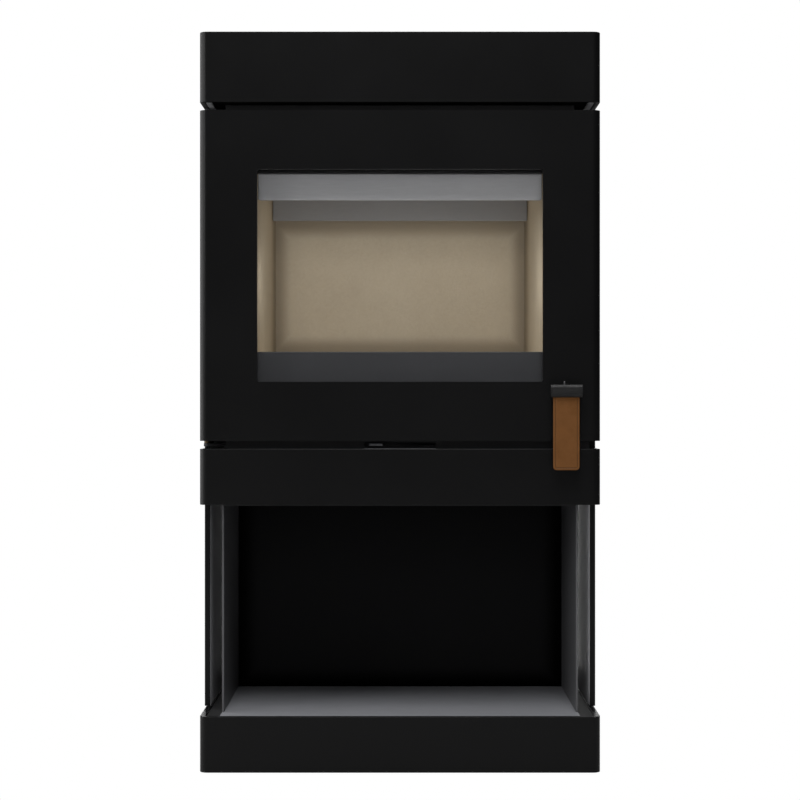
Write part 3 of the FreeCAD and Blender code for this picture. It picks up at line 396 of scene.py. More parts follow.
def make_lit_store_wall_paint():
    # painted light: thirty times the black stove paint, a lit copy for the light the store's side walls catch
    return grained("log store wall paint with painted light", scaled(colours().paint, 30), patch_gain=1.2, grain=1300.0,
                   patch=6.0, rough=(0.4, 0.5), specular=0.25, bump=(0.06, 0.00005),
                   stretch=(1, 1, 0.05))


def make_floor_paint():
    return grained("log store floor finish", colours().floor_plate, patch_gain=0.82, grain=1300.0,
                   patch=8.0, rough=(0.42, 0.55), specular=0.5, bump=(0.2, 0.0001))


def make_lining_grey():
    return grained("grey primer", colours().lining_grey, patch_gain=0.85, grain=1100.0, patch=8.0,
                   rough=(0.45, 0.55), specular=0.4, bump=(0.15, 0.0001), stretch=(1, 1, 0.05))


def make_lit_strip_tone():
    # paler than the bare steel it stands for: painted light from below on the strips under the cap
    return grained("pale strip tone with painted light", colours().primer, patch_gain=0.85, grain=1100.0, patch=8.0,
                   rough=(0.4, 0.5), specular=0.4, bump=(0.1, 0.0001))


def make_steel():
    return grained("rolled steel", colours().bare_steel, patch_gain=0.85, grain=700.0, patch=6.0,
                   rough=(0.5, 0.6), metallic=0.35, bump=(0.15, 0.00006), stretch=(0.08, 1, 1))


def make_shaded_steel():
    # painted shade: a darker copy of the rolled steel for the shaded rear air plate; the ash pan shares it
    return grained("steel darkened for painted shade", scaled(colours().bare_steel, 0.66), patch_gain=0.85, grain=700.0,
                   patch=6.0, rough=(0.5, 0.6), metallic=0.3, bump=(0.15, 0.00006), stretch=(0.08, 1, 1))


def make_cast():
    return grained("sand-cast iron", colours().cast, patch_gain=1.35, grain=1100.0, patch=20.0,
                   rough=(0.5, 0.68), specular=0.4, bump=(0.5, 0.00035))


def make_handle_metal():
    return grained("textured handle black", scaled(colours().inner_paint, 0.5), patch_gain=1.8,
                   grain=1300.0, patch=60.0, rough=(0.3, 0.44), specular=0.3, bump=(0.8, 0.0007))


def make_zinc():
    return grained("dark plated steel", colours().zinc, patch_gain=0.8, grain=1500.0, patch=60.0,
                   rough=(0.3, 0.45), metallic=0.9, bump=(0.1, 0.00005))


def make_bronze():
    return grained("turned bronze", colours().bronze, patch_gain=0.75, grain=1200.0, patch=60.0,
                   rough=(0.3, 0.45), metallic=1.0, bump=(0.1, 0.00005))


def make_rope_material():
    return grained("glass-fibre rope", colours().rope, patch_gain=1.7, grain=2600.0, patch=60.0,
                   rough=(0.8, 0.95), specular=0.2, bump=(0.6, 0.0003))


def make_thread():
    return grained("waxed thread", colours().thread, patch_gain=0.7, grain=4000.0, patch=200.0,
                   rough=(0.5, 0.7), specular=0.3, bump=(0.4, 0.0001))


def make_board():
    return flaked_board("vermiculite board")[0]


def make_back_board():
    """Clean in the middle, with painted shade towards the side boards, the air plate above and the log
    retainer.
    """
    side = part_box("liner_right")[0].x
    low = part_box("log_retainer")[1].z + 8 * MM
    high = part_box("rear_air_plate")[0].z
    # painted shade along the back board's rim
    return shaded_board("back board with painted shade", (0, 0, (low + high) / 2), (side, 1, (high - low) / 2), 0.026)


def make_side_board():
    """Painted shade towards the corner with the back board."""
    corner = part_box("liner_back")[0].y
    # painted shade near the corner with the back board
    return shaded_board("side board with painted shade", (0, corner - 1, 0), (1, 1, 2), 0.09)


def shaded_board(name, middle, reach, softness):
    material, tree, shader, colour = flaked_board(name)
    # painted shade: the board darkens towards the rim of the given region
    painted_shade_over(tree, shader, colour, rgba(colours().board_flake, 0.72), middle, reach, softness)
    return material


def painted_shade_over(tree, shader, colour, shade_tone, middle, reach, softness):
    """Passes a material's colour through the painted shade border, which darkens it towards the rim of a
    region.
    """
    group = place_group(tree, "painted shade border", Soot_colour=shade_tone, Middle=middle, Reach=reach,
                        Softness=softness)
    tree.links.new(colour, group.inputs["Colour"])
    tree.links.new(group.outputs["Colour"], shader.inputs["Base Color"])


def flaked_board(name):
    material, tree, shader = blank_material(name)
    group = place_group(tree, "board flakes", Colour=rgba(colours().board),
                        Flake_colour=rgba(colours().board_flake), Flake_scale=420.0, Flake_share=0.55)
    tree.links.new(group.outputs["Colour"], shader.inputs["Base Color"])
    shader.inputs["Roughness"].default_value = 0.92
    shader.inputs["Specular IOR Level"].default_value = 0.15
    add_bump(tree, shader, group.outputs["Height"], 0.35, 0.0004)
    return material, tree, shader, group.outputs["Colour"]


def make_crease():
    return grained("pressed leather crease", scaled(colours().leather, 0.55), patch_gain=1.3,
                   grain=2200.0, patch=120.0, rough=(0.5, 0.7), specular=0.2, bump=(0.3, 0.0001))


def make_leather():
    material, tree, shader = blank_material("tan leather")
    tint = colours().leather
    group = place_group(tree, "leather hide", Colour=rgba(tint), Shade=rgba(tint, 0.78), Pore_scale=1100.0,
                        Cloud_scale=55.0)
    tree.links.new(group.outputs["Colour"], shader.inputs["Base Color"])
    tree.links.new(group.outputs["Roughness"], shader.inputs["Roughness"])
    shader.inputs["Specular IOR Level"].default_value = 0.22
    add_bump(tree, shader, group.outputs["Height"], 0.25, 0.00012)
    return material


def make_glass():
    material, tree, shader = blank_material("stove glass")
    place = tree.nodes.new("ShaderNodeTexCoord").outputs["Object"]
    smear = spread(tree, noise(tree, place, 5.0, 3.0), 0.3, 0.7)
    low = tree.nodes.new("ShaderNodeMapRange")
    low.inputs["To Min"].default_value = 0.025
    low.inputs["To Max"].default_value = 0.06
    tree.links.new(smear, low.inputs["Value"])
    tree.links.new(low.outputs["Result"], shader.inputs["Roughness"])
    shader.inputs["Base Color"].default_value = (0.01, 0.01, 0.01, 1)
    shader.inputs["IOR"].default_value = 1.54
    shader.inputs["Alpha"].default_value = 0.1
    return material


MATERIAL_MAKERS = {
    "paint": make_paint, "inner": make_inner_paint, "store_back": make_store_back_paint,
    "lit_store_wall": make_lit_store_wall_paint, "floor": make_floor_paint, "grey": make_lining_grey,
    "primer": make_lit_strip_tone, "crease": make_crease,
    "steel": make_steel, "shaded_steel": make_shaded_steel, "cast": make_cast, "handle": make_handle_metal,
    "zinc": make_zinc, "bronze": make_bronze, "rope": make_rope_material, "thread": make_thread,
    "board": make_board, "back_board": make_back_board, "side_board": make_side_board,
    "leather": make_leather, "glass": make_glass,
}
made_materials = {}


def finish_of(name):
    if name not in made_materials:
        made_materials[name] = MATERIAL_MAKERS[name]()
    return made_materials[name]


# ------------------------------------------------------------------ mesh helpers
def new_piece(name, mesh, finish, body):
    """Links a finished piece, gives it its material and lets it ride on its body."""
    piece = bpy.data.objects.new(name, mesh)
    bpy.context.scene.collection.objects.link(piece)
    mesh.materials.clear()
    mesh.materials.append(finish_of(finish))
    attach(piece, body)
    return piece


def smooth_by_angle(mesh):
    mesh.polygons.foreach_set("use_smooth", [True] * len(mesh.polygons))
    mesh.set_sharp_from_angle(angle=SHARP_ANGLE)


def clean_copy(node):
    """The node's own surface with its flat faces made whole again, ready for edge rounding."""
    work = bmesh.new()
    work.from_mesh(NODES[node].data)
    bmesh.ops.remove_doubles(work, verts=work.verts, dist=2e-6)
    bmesh.ops.dissolve_limit(work, angle_limit=FLAT_ANGLE, verts=work.verts, edges=work.edges)
    mesh = bpy.data.meshes.new(node + "_mesh")
    work.to_mesh(mesh)
    work.free()
    smooth_by_angle(mesh)
    return mesh


def soften(node, finish, edge, segments=3):
    """A piece that stands for a CAD node: the same shape with its edges rounded as the real ones are."""
    return finish_piece(node, clean_copy(node), finish, edge, segments)


def finish_piece(node, mesh, finish, edge, segments=3):
    piece = new_piece(node + "_finished", mesh, finish, NODES[node]["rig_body"])
    bevel = piece.modifiers.new("edge rounding", "BEVEL")
    bevel.width = edge
    bevel.segments = segments
    bevel.limit_method = "ANGLE"
    bevel.angle_limit = SHARP_ANGLE
    bevel.harden_normals = True
    bevel.use_clamp_overlap = True
    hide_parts(node)
    return piece


def paint_node(node, finish):
    """Keeps the CAD node as it is and gives it its finish."""
    target = NODES[node]
    target.data.materials.clear()
    target.data.materials.append(finish_of(finish))


def second_finish(piece, finish, chosen):
    """Gives a second finish to the faces that chosen(middle, normal) picks."""
    piece.data.materials.append(finish_of(finish))
    for face in piece.data.polygons:
        if chosen(face.center, face.normal):
            face.material_index = 1


def soften_all(table, edge):
    for node, finish in table.items():
        soften(node, finish, edge)


def loft(rings, closed=True, capped=True):
    """Skins rings of points one to the next; each ring is closed on itself."""
    work = bmesh.new()
    rows = [[work.verts.new(point) for point in ring] for ring in rings]
    count = len(rows[0])
    last = len(rows) if closed else len(rows) - 1
    for index in range(last):
        row = rows[index]
        after = rows[(index + 1) % len(rows)]
        for spot in range(count):
            beside = (spot + 1) % count
            work.faces.new((row[spot], row[beside], after[beside], after[spot]))
    if capped and not closed:
        work.faces.new(list(reversed(rows[0])))
        work.faces.new(rows[-1])
    bmesh.ops.recalc_face_normals(work, faces=work.faces)
    mesh = bpy.data.meshes.new("lofted")
    work.to_mesh(mesh)
    work.free()
    smooth_by_angle(mesh)
    return mesh


# ------------------------------------------------------------------ operators
class StoveOperator:
    bl_options = {"REGISTER", "UNDO"}


class STOVE_OT_casing(StoveOperator, bpy.types.Operator):
    """Build the painted casing: base, side panels, lower band, cap and the door's outer panel"""
    bl_idname = "stove.casing"
    bl_label = "Casing"

    def execute(self, context):
        names = ("base_plinth", "lower_front_band", "top_cap", "door_panel")
        soften_all({name: "paint" for name in names}, sizes().casing_edge)
        skin = 10 * MM
        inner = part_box("side_panel_right")[1].x - skin
        for name, side in (("side_panel_left", -1), ("side_panel_right", 1)):
            panel = soften(name, "paint", sizes().casing_edge)
            second_finish(panel, "grey",
                          lambda middle, normal: normal.x * side < -SQUARE_ON and middle.x * side > inner)
        # strips above the door's foot take the pale tone: bare steel lifted as painted light from below
        strips = soften("edge_strips", "primer", sizes().sheet_edge / 4)
        door_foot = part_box("door_panel")[0].z
        second_finish(strips, "cast", lambda middle, normal: middle.z < door_foot)
        return {"FINISHED"}


class STOVE_OT_log_store(StoveOperator, bpy.types.Operator):
    """Build the log store's floor, walls, back and ceiling"""
    bl_idname = "stove.log_store"
    bl_label = "Log store"

    def execute(self, context):
        # the store's side walls take the lit copy of the black paint as painted light
        soften_all({"log_store_left_wall": "lit_store_wall", "log_store_right_wall": "lit_store_wall",
                    "log_store_back": "store_back", "log_store_ceiling": "inner"}, sizes().sheet_edge)
        make_store_floor()
        return {"FINISHED"}


def make_store_floor():
    """The floor plate: grey between the store's walls, black where it runs under the air channels."""
    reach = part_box("log_store_right_wall")[1].x
    mesh = clean_copy("log_store_floor")
    work = bmesh.new()
    work.from_mesh(mesh)
    for side in (-1, 1):
        parts = work.verts[:] + work.edges[:] + work.faces[:]
        bmesh.ops.bisect_plane(work, geom=parts, plane_co=(side * reach, 0, 0), plane_no=(1, 0, 0))
    work.to_mesh(mesh)
    work.free()
    smooth_by_angle(mesh)
    floor = finish_piece("log_store_floor", mesh, "floor", sizes().sheet_edge)
    second_finish(floor, "inner", lambda middle, normal: abs(middle.x) > reach)


class STOVE_OT_rear(StoveOperator, bpy.types.Operator):
    """Build the rear panel, the air inlet and the flue collar"""
    bl_idname = "stove.rear"
    bl_label = "Rear and flue"

    def execute(self, context):
        soften_all({"rear_panel": "paint", "air_spigot": "inner", "flue_collar": "inner",
                    "cap_heat_shield": "inner", "rear_panel_screws": "zinc"}, sizes().sheet_edge)
        return {"FINISHED"}


class STOVE_OT_hidden_steel(StoveOperator, bpy.types.Operator):
    """Finish the chassis, brackets and firebox shell"""
    bl_idname = "stove.hidden_steel"
    bl_label = "Chassis and firebox shell"

    def execute(self, context):
        soften("firebox_front", "inner", sizes().casing_edge)
        for node in ("panel_brackets", "cap_posts", "chassis_plate", "chassis_legs", "air_box",
                     "air_slider_guide", "firebox_left_wall", "firebox_right_wall", "firebox_back",
                     "firebox_floor", "firebox_top", "grate_support", "baffle_supports"):
            paint_node(node, "inner")
        paint_node("levelling_feet", "zinc")
        return {"FINISHED"}


class STOVE_OT_lining(StoveOperator, bpy.types.Operator):
    """Build the pressed boards that line the firebox, and the baffle board"""
    bl_idname = "stove.lining"
    bl_label = "Lining boards"

    def execute(self, context):
        soften_all({"liner_left": "side_board", "liner_right": "side_board", "liner_back": "back_board",
                    "liner_base": "board", "upper_baffle": "board"}, sizes().board_edge)
        return {"FINISHED"}


class STOVE_OT_furniture(StoveOperator, bpy.types.Operator):
    """Build the firebox furniture: deflector, rear air plate, log retainer, grate and ash pan"""
    bl_idname = "stove.furniture"
    bl_label = "Firebox furniture"

    def execute(self, context):
        # the rear air plate takes the darker steel copy as painted shade
        soften_all({"air_wash_deflector": "steel", "rear_air_plate": "shaded_steel"}, sizes().board_edge)
        soften_all({"log_retainer": "cast", "fire_grate": "cast"}, sizes().cast_edge)
        soften("ash_pan", "shaded_steel", sizes().sheet_edge)
        return {"FINISHED"}


class STOVE_OT_door_parts(StoveOperator, bpy.types.Operator):
    """Build the door's glass, frame, clips, gasket and screws"""
    bl_idname = "stove.door_parts"
    bl_label = "Door parts"

    def execute(self, context):
        soften("door_glass", "glass", sizes().sheet_edge)
        soften("door_inner_frame", "inner", sizes().sheet_edge)
        soften_all({"glass_clips": "steel", "latch_tongue": "steel", "latch_catch": "steel",
                    "door_screws": "zinc"}, sizes().sheet_edge)
        make_gasket()
        return {"FINISHED"}


def make_gasket():
    """The flat woven tape between the glass and the door's panel."""
    mesh = woven_ring("glass_gasket", 8 * MM, 4.5 * MM, strands=6, pitch=9 * MM, squareness=0.35)
    tape = new_piece("glass_tape", mesh, "rope", "door")
    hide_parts("glass_gasket")


class STOVE_OT_hinges(StoveOperator, bpy.types.Operator):
    """Build the hinge brackets, pins and washers"""
    bl_idname = "stove.hinges"
    bl_label = "Hinges"

    def execute(self, context):
        soften("hinge_brackets", "inner", sizes().sheet_edge)
        soften("hinge_washers", "bronze", sizes().sheet_edge)
        paint_node("hinge_pins", "zinc")
        return {"FINISHED"}


class STOVE_OT_air_control(StoveOperator, bpy.types.Operator):
    """Build the air slider and its tab"""
    bl_idname = "stove.air_control"
    bl_label = "Air control"

    def execute(self, context):
        soften("air_slider", "inner", sizes().sheet_edge / 2)
        soften("air_slider_cap", "cast", sizes().sheet_edge / 2)
        return {"FINISHED"}


class STOVE_OT_rope(StoveOperator, bpy.types.Operator):
    """Build the braided sealing rope in its channel round the door's frame"""
    bl_idname = "stove.rope"
    bl_label = "Sealing rope"

    def execute(self, context):
        mesh = woven_ring("door_rope_seal", 10 * MM, 10 * MM, strands=3, pitch=14 * MM, squareness=0.8)
        rope = new_piece("sealing_rope", mesh, "rope", "door")
        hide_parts("door_rope_seal")
        return {"FINISHED"}


def rounded_rectangle_path(half, low, high, radius, step):
    """Evenly spaced points and outward directions round a rounded rectangle in the XZ plane."""
    middle = (low + high) / 2
    flat_x = half - radius
    flat_z = (high - low) / 2 - radius
    arc = radius * math.pi / 2
    spans = [2 * flat_z, arc, 2 * flat_x, arc] * 2
    total = sum(spans)
    count = int(total / step)
    path = []
    for index in range(count):
        run = index * total / count
        turn = 0
        while run > spans[turn]:
            run -= spans[turn]
            turn += 1
        path.append(path_spot(turn, run, flat_x, flat_z, radius, middle))
    return path


def path_spot(turn, run, flat_x, flat_z, radius, middle):
    """Where a run along one side or corner lies: sides 0, 2, 4, 6 are straight, the others are corners."""
    angle = math.pi / 2 * (turn // 2)
    if turn % 2 == 0:
        along = run - (flat_z if turn % 4 == 0 else flat_x)
        out = (flat_x if turn % 4 == 0 else flat_z) + radius
        x, z = out, along
        normal = (1.0, 0.0)
    else:
        swing = run / radius
        side_x, side_z = (flat_x, flat_z) if turn % 4 == 1 else (flat_z, flat_x)
        x = side_x + radius * math.cos(swing)
        z = side_z + radius * math.sin(swing)
        normal = (math.cos(swing), math.sin(swing))
    c, s = math.cos(angle), math.sin(angle)
    place = Vector((x * c - z * s, 0, x * s + z * c + middle))
    outward = Vector((normal[0] * c - normal[1] * s, 0, normal[0] * s + normal[1] * c))
    return place, outward


def woven_ring(node, width, corner, strands, pitch, squareness):
    """A rounded ring, as wide as given and as deep as its node, with crossing strands raised on its skin."""
    low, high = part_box(node)
    depth = high.y - low.y
    step = 0.8 * MM
    path = rounded_rectangle_path(high.x - width / 2, low.z + width / 2, high.z - width / 2, corner, step)
    around = 24
    turns = round(len(path) * step / pitch)
    base = 0.94
    relief = 0.055
    rings = []
    for index, (place, outward) in enumerate(path):
        phase = 2 * math.pi * turns * index / len(path)
        ring = []
        for spot in range(around):
            angle = 2 * math.pi * spot / around
            weave = math.sin(strands * angle + phase * 2) * math.sin(strands * angle - phase * 2)
            grow = base + relief * weave
            wide = math.copysign(abs(math.cos(angle)) ** squareness, math.cos(angle)) * width / 2 * grow
            deep = math.copysign(abs(math.sin(angle)) ** squareness, math.sin(angle)) * depth / 2 * grow
            point = place + outward * wide
            ring.append((point.x, (low.y + high.y) / 2 + deep, point.z))
        rings.append(ring)
    return loft(rings)


class STOVE_OT_handle(StoveOperator, bpy.types.Operator):
    """Build the handle's lug and bar, the leather strap and its seam"""
    bl_idname = "stove.handle"
    bl_label = "Handle and strap"

    def execute(self, context):
        soften("handle_lug", "handle", sizes().sheet_edge)
        soften("handle_bar", "handle", sizes().cast_edge * 2.5, segments=5)
        paint_node("handle_pin", "zinc")
        paint_node("strap_screws", "zinc")
        strap = new_piece("strap_leather", strap_mesh(), "leather", "handle")
        second_finish(strap, "crease", in_crease)
        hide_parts("leather_strap")
        new_piece("strap_seam", seam_mesh(), "thread", "handle")
        return {"FINISHED"}


STRAP_LOW, STRAP_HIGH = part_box("leather_strap")
STRAP_HALF = (STRAP_HIGH.x - STRAP_LOW.x) / 2
STRAP_MIDDLE = (STRAP_HIGH.x + STRAP_LOW.x) / 2
STRAP_CORNER = 4.5 * MM


def inset_from_edge(x, z):
    """Distance from a spot on the strap to its cut edge: the two sides and the rounded foot."""
    side = STRAP_HALF - abs(x - STRAP_MIDDLE)
    foot = z - STRAP_LOW.z
    if side < STRAP_CORNER and foot < STRAP_CORNER:
        return STRAP_CORNER - math.hypot(STRAP_CORNER - side, STRAP_CORNER - foot)
    return min(side, foot)


def in_crease(middle, normal):
    crease_half = 0.5 * MM
    return abs(inset_from_edge(middle.x, middle.z) - sizes().seam_inset) < crease_half


def strap_skin(x, z):
    """How far the strap's face stands back from its full thickness: rounded rim and pressed seam line."""
    inset = max(0.0, inset_from_edge(x, z))
    rim = 1.0 * MM
    rim_drop = 0.9 * MM
    groove_half = 0.7 * MM
    groove_depth = 0.35 * MM
    back = 0.0
    if inset < rim:
        back += rim_drop * (1 - math.sqrt(max(0.0, 1 - (1 - inset / rim) ** 2)))
    seam = abs(inset - sizes().seam_inset) / groove_half
    if seam < 1:
        back += groove_depth * (0.5 + 0.5 * math.cos(math.pi * seam))
    return back


def strap_mesh():
    """A two-layer strap: each row is a closed ring over the front and back faces."""
    across = 120
    rows = 300
    foot_crowding = 1.35
    edge_crowding = 0.55
    least = 0.12 * MM
    half_thick = (STRAP_HIGH.y - STRAP_LOW.y) / 2
    mid_y = (STRAP_HIGH.y + STRAP_LOW.y) / 2
    rings = []
    for row in range(rows + 1):
        share = row / rows
        z = STRAP_LOW.z + (STRAP_HIGH.z - STRAP_LOW.z) * share ** foot_crowding
        foot = z - STRAP_LOW.z
        half = STRAP_HALF
        if foot < STRAP_CORNER:
            half -= STRAP_CORNER - math.sqrt(max(0.0, STRAP_CORNER ** 2 - (STRAP_CORNER - foot) ** 2))
        front = []
        rear = []
        for spot in range(across + 1):
            lean = -math.cos(math.pi * spot / across)
            even = 2 * spot / across - 1
            x = STRAP_MIDDLE + half * (edge_crowding * lean + (1 - edge_crowding) * even)
            thick = max(least, half_thick - strap_skin(x, z))
            front.append((x, mid_y - thick, z))
            rear.append((x, mid_y + thick, z))
        rings.append(front + rear[::-1])
    return loft(rings, closed=False)


def seam_mesh():
    """Short slanted stitches laid in the seam line, down one side, round the foot and up the other."""
    inset = sizes().seam_inset
    head_gap = 6 * MM
    sink = 0.34 * MM
    stitch_share = 0.74
    half = STRAP_HALF - inset
    radius = STRAP_CORNER - inset
    top = STRAP_HIGH.z - head_gap
    low = STRAP_LOW.z + inset
    side = top - low - radius
    arc = radius * math.pi / 2
    base = 2 * (half - radius)
    spans = [side, arc, base, arc, side]
    pitch = sizes().stitch_pitch
    count = int(sum(spans) / pitch)
    work = bmesh.new()
    for face in (-1, 1):
        y = (STRAP_HIGH.y + STRAP_LOW.y) / 2 + face * ((STRAP_HIGH.y - STRAP_LOW.y) / 2 - sink)
        for number in range(count):
            place, run = seam_spot((number + 0.5) * sum(spans) / count, spans, half, radius, top, low)
            add_stitch(work, Vector((place[0], y, place[1])), Vector((run[0], 0, run[1])),
                       pitch * stitch_share)
    mesh = bpy.data.meshes.new("seam")
    work.to_mesh(mesh)
    work.free()
    smooth_by_angle(mesh)
    return mesh


def seam_spot(run, spans, half, radius, top, low):
    """Place and direction on the seam's path, as (x, z) pairs."""
    left = STRAP_MIDDLE - half
    right = STRAP_MIDDLE + half
    if run < spans[0]:
        return (left, top - run), (0, -1)
    run -= spans[0]
    if run < spans[1]:
        turn = run / radius
        return ((left + radius - radius * math.cos(turn), low + radius - radius * math.sin(turn)),
                (math.sin(turn), -math.cos(turn)))
    run -= spans[1]
    if run < spans[2]:
        return (left + radius + run, low), (1, 0)
    run -= spans[2]
    if run < spans[3]:
        turn = run / radius
        return ((right - radius + radius * math.sin(turn), low + radius - radius * math.cos(turn)),
                (math.cos(turn), math.sin(turn)))
    run -= spans[3]
    return (right, low + radius + run), (0, 1)


def add_stitch(work, middle, run, length):
    """One stitch: a short thread, fat in the middle and dipping at both ends."""
    thick = 0.27 * MM
    taper = 0.92
    steps = 6
    around = 8
    outward = Vector((0, 1, 0))
    across = outward.cross(run)
    rings = []
    for step in range(steps + 1):
        share = step / steps - 0.5
        size = thick * math.sqrt(1 - (2 * share) ** 2 * taper)
        centre = middle + run * (share * length)
        ring = []
        for spot in range(around):
            angle = 2 * math.pi * spot / around
            ring.append(work.verts.new(centre + across * size * math.cos(angle)
                                       + outward * size * math.sin(angle)))
        rings.append(ring)
    for first, second in zip(rings, rings[1:]):
        for spot in range(around):
            beside = (spot + 1) % around
            work.faces.new((first[spot], first[beside], second[beside], second[spot]))
    work.faces.new(rings[0][::-1])
    work.faces.new(rings[-1])


# ------------------------------------------------------------------ stage
def area_light(name, place, target, size, energy):
    data = bpy.data.lights.new(name, "AREA")
    data.shape = "RECTANGLE"
    data.size, data.size_y = size
    data.energy = energy
    lamp = bpy.data.objects.new(name, data)
    bpy.context.scene.collection.objects.link(lamp)
    lamp.location = place
    lamp.rotation_euler = (Vector(target) - Vector(place)).to_track_quat("-Z", "Y").to_euler()
    return lamp


def unseen_light(name, place, target, size, energy):
    lamp = area_light(name, place, target, size, energy)
    lamp.visible_camera = False
    return lamp


def stage_material():
    """Pale floor paper: bright where the camera looks at it, plain matt for the light it gives back."""
    material, tree, shader = blank_material("stage paper")
    place = tree.nodes.new("ShaderNodeTexCoord").outputs["Object"]
    tooth = noise(tree, place, 60.0, 3.0)
    shader.inputs["Base Color"].default_value = rgba(colours().stage)
    shader.inputs["Roughness"].default_value = 0.9
    shader.inputs["Specular IOR Level"].default_value = 0.1
    add_bump(tree, shader, tooth, 0.05, 0.0005)
    glow = tree.nodes.new("ShaderNodeEmission")
    glow.inputs["Strength"].default_value = 1.0
    pick = tree.nodes.new("ShaderNodeMixShader")
    path = tree.nodes.new("ShaderNodeLightPath")
    tree.links.new(path.outputs["Is Camera Ray"], pick.inputs["Fac"])
    tree.links.new(shader.outputs["BSDF"], pick.inputs[1])
    tree.links.new(glow.outputs["Emission"], pick.inputs[2])
    tree.links.new(pick.outputs["Shader"], tree.nodes["Material Output"].inputs["Surface"])
    return material


class STOVE_OT_stage(StoveOperator, bpy.types.Operator):
    """Set up the pale floor, the soft lights and the camera"""
    bl_idname = "stove.stage"
    bl_label = "Stage"

    def execute(self, context):
        make_floor()
        make_lights()
        make_camera()
        return {"FINISHED"}


def make_floor():
    work = bmesh.new()
    reach = 9.0
    bmesh.ops.create_grid(work, x_segments=8, y_segments=8, size=reach)
    mesh = bpy.data.meshes.new("floor")
    work.to_mesh(mesh)
    work.free()
    floor = bpy.data.objects.new("floor", mesh)
    bpy.context.scene.collection.objects.link(floor)
    floor.location.z = CAD_BOX[0][2]
    mesh.materials.append(stage_material())


def make_lights():
    """Soft lamps round the stove; the window's fill gives no highlight on the paint."""
    front = CAD_BOX[0][1]
    middle = (0, 0, CAD_BOX[1][2] * 0.55)
    area_light("front_left", (-2.3, front - 1.5, 1.3), middle, (1.0, 1.0), 18)
    area_light("front_high", (0, front - 1.4, 2.9), middle, (1.2, 1.2), 80)
    area_light("left_wall", (-2.6, 0.1, 1.0), (0, 0.1, 0.6), (2.4, 2.4), 62)
    area_light("top", (0, -0.3, 2.8), (0, 0, 0), (1.6, 1.6), 30)
    area_light("behind", (0, 3.0, 1.6), middle, (1.6, 1.6), 30)
    fill = unseen_light("window_fill", (0, front - 1.8, 0.72), (0, front, 0.62), (0.9, 0.9), 14)
    fill.visible_glossy = False
    make_inner_lights()
    make_world()


def make_world():
    """White where the camera looks past the stove, and a faint even light everywhere else."""
    scene = bpy.context.scene
    seen_strength = 1.0
    given_strength = 0.05
    world = bpy.data.worlds.new("studio")
    scene.world = world
    world.use_nodes = True
    tree = world.node_tree
    tree.nodes.clear()
    output = tree.nodes.new("ShaderNodeOutputWorld")
    pick = tree.nodes.new("ShaderNodeMixShader")
    path = tree.nodes.new("ShaderNodeLightPath")
    tree.links.new(path.outputs["Is Camera Ray"], pick.inputs["Fac"])
    for socket, strength in ((1, given_strength), (2, seen_strength)):
        light = tree.nodes.new("ShaderNodeBackground")
        light.inputs["Color"].default_value = (1, 1, 1, 1)
        light.inputs["Strength"].default_value = strength
        tree.links.new(light.outputs["Background"], pick.inputs[socket])
    tree.links.new(pick.outputs["Shader"], output.inputs["Surface"])
    scene.view_settings.view_transform = "Standard"


def make_inner_lights():
    """Small unseen lamps that keep the firebox and the two air channels from going black."""
    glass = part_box("door_glass")
    chamber_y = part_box("air_wash_deflector")[1].y
    middle_z = (glass[0].z + glass[1].z) / 2
    unseen_light("firebox_fill", (0, chamber_y, middle_z), (0, 1, middle_z), (0.32, 0.05), 0.13)
    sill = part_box("log_retainer")
    behind_glass = glass[1].y + 6 * MM
    unseen_light("mouth_fill", (0, behind_glass, sill[1].z), (0, sill[1].y, 1), (0.3, 0.01), 0.04)
    make_channel_lights()


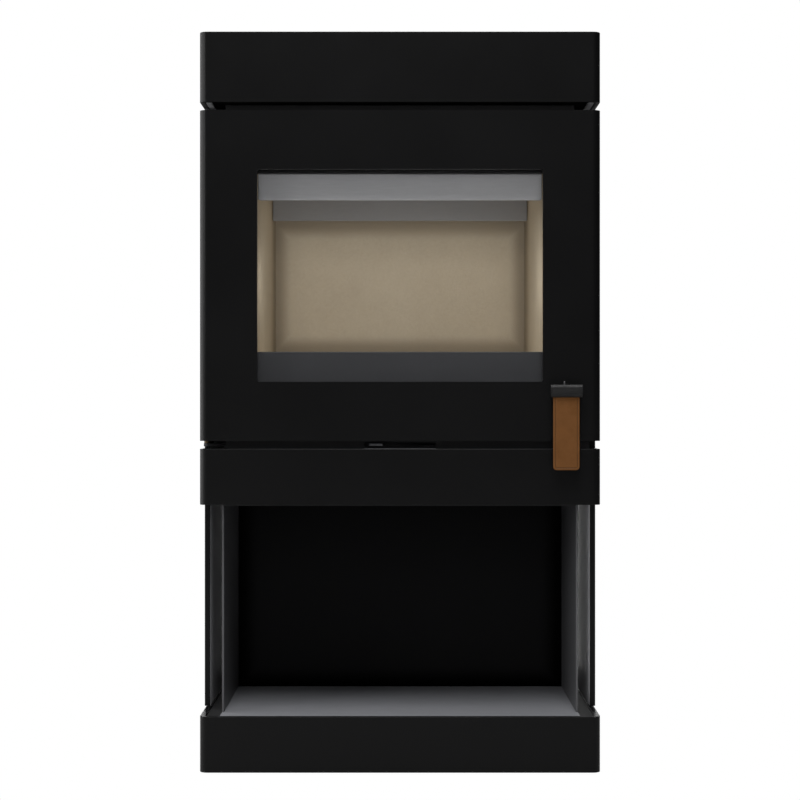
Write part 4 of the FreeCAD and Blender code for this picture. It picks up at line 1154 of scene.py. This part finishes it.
def make_channel_lights():
    """One lamp at the rear and one at the front of each air channel; the right one is the brighter."""
    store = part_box("log_store_back")
    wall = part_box("log_store_right_wall")
    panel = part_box("side_panel_right")
    height = store[1].z - store[0].z
    middle_z = store[0].z + height / 2
    off_wall = 6 * MM
    off_back = 60 * MM
    off_panel = 1 * MM
    lamp_size = (8 * MM, height * 0.9)
    for side, rear_energy, front_energy in ((-1, 0.008, 0.0005), (1, 0.036, 0.009)):
        x = side * (wall[1].x + off_wall)
        rear = (x, store[0].y + off_back, middle_z)
        ahead = (x, panel[0].y + off_panel, middle_z)
        for name, place, run, energy in (("channel_rear", rear, (0, -1), rear_energy),
                                         ("channel_front", ahead, (side, 1), front_energy)):
            target = (place[0] + run[0], place[1] + run[1], middle_z)
            unseen_light(name, place, target, lamp_size, energy)


def make_camera():
    data = bpy.data.cameras.new("camera")
    data.lens = 85
    data.sensor_width = 36
    camera = bpy.data.objects.new("camera", data)
    bpy.context.scene.collection.objects.link(camera)
    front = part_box("door_panel")[0].y
    camera.location = (0, front - sizes().camera_distance, sizes().camera_height)
    camera.rotation_euler = (math.pi / 2, 0, 0)
    bpy.context.scene.camera = camera


class STOVE_PT_panel(bpy.types.Panel):
    """Stove sizes, colours and build steps"""
    bl_idname = "STOVE_PT_panel"
    bl_label = "Stove"
    bl_space_type = "VIEW_3D"
    bl_region_type = "UI"
    bl_category = "Stove"

    def draw(self, context):
        for group in (context.scene.stove_sizes, context.scene.stove_colours):
            for key in group.__annotations__:
                self.layout.prop(group, key)
        for operator in OPERATORS:
            self.layout.operator(operator.bl_idname)


OPERATORS = (STOVE_OT_stage, STOVE_OT_casing, STOVE_OT_log_store, STOVE_OT_rear, STOVE_OT_hidden_steel,
             STOVE_OT_lining, STOVE_OT_furniture, STOVE_OT_door_parts, STOVE_OT_hinges, STOVE_OT_air_control,
             STOVE_OT_rope, STOVE_OT_handle)
CLASSES = (StoveSizes, StoveColours) + OPERATORS + (STOVE_PT_panel,)


def register():
    for entry in CLASSES:
        bpy.utils.register_class(entry)
    bpy.types.Scene.stove_sizes = bpy.props.PointerProperty(type=StoveSizes)
    bpy.types.Scene.stove_colours = bpy.props.PointerProperty(type=StoveColours)


def unregister():
    del bpy.types.Scene.stove_sizes
    del bpy.types.Scene.stove_colours
    for entry in reversed(CLASSES):
        bpy.utils.unregister_class(entry)


def main():
    register()
    for operator in OPERATORS:
        family, name = operator.bl_idname.split(".")
        getattr(getattr(bpy.ops, family), name)()


if __name__ == "__main__":
    main()
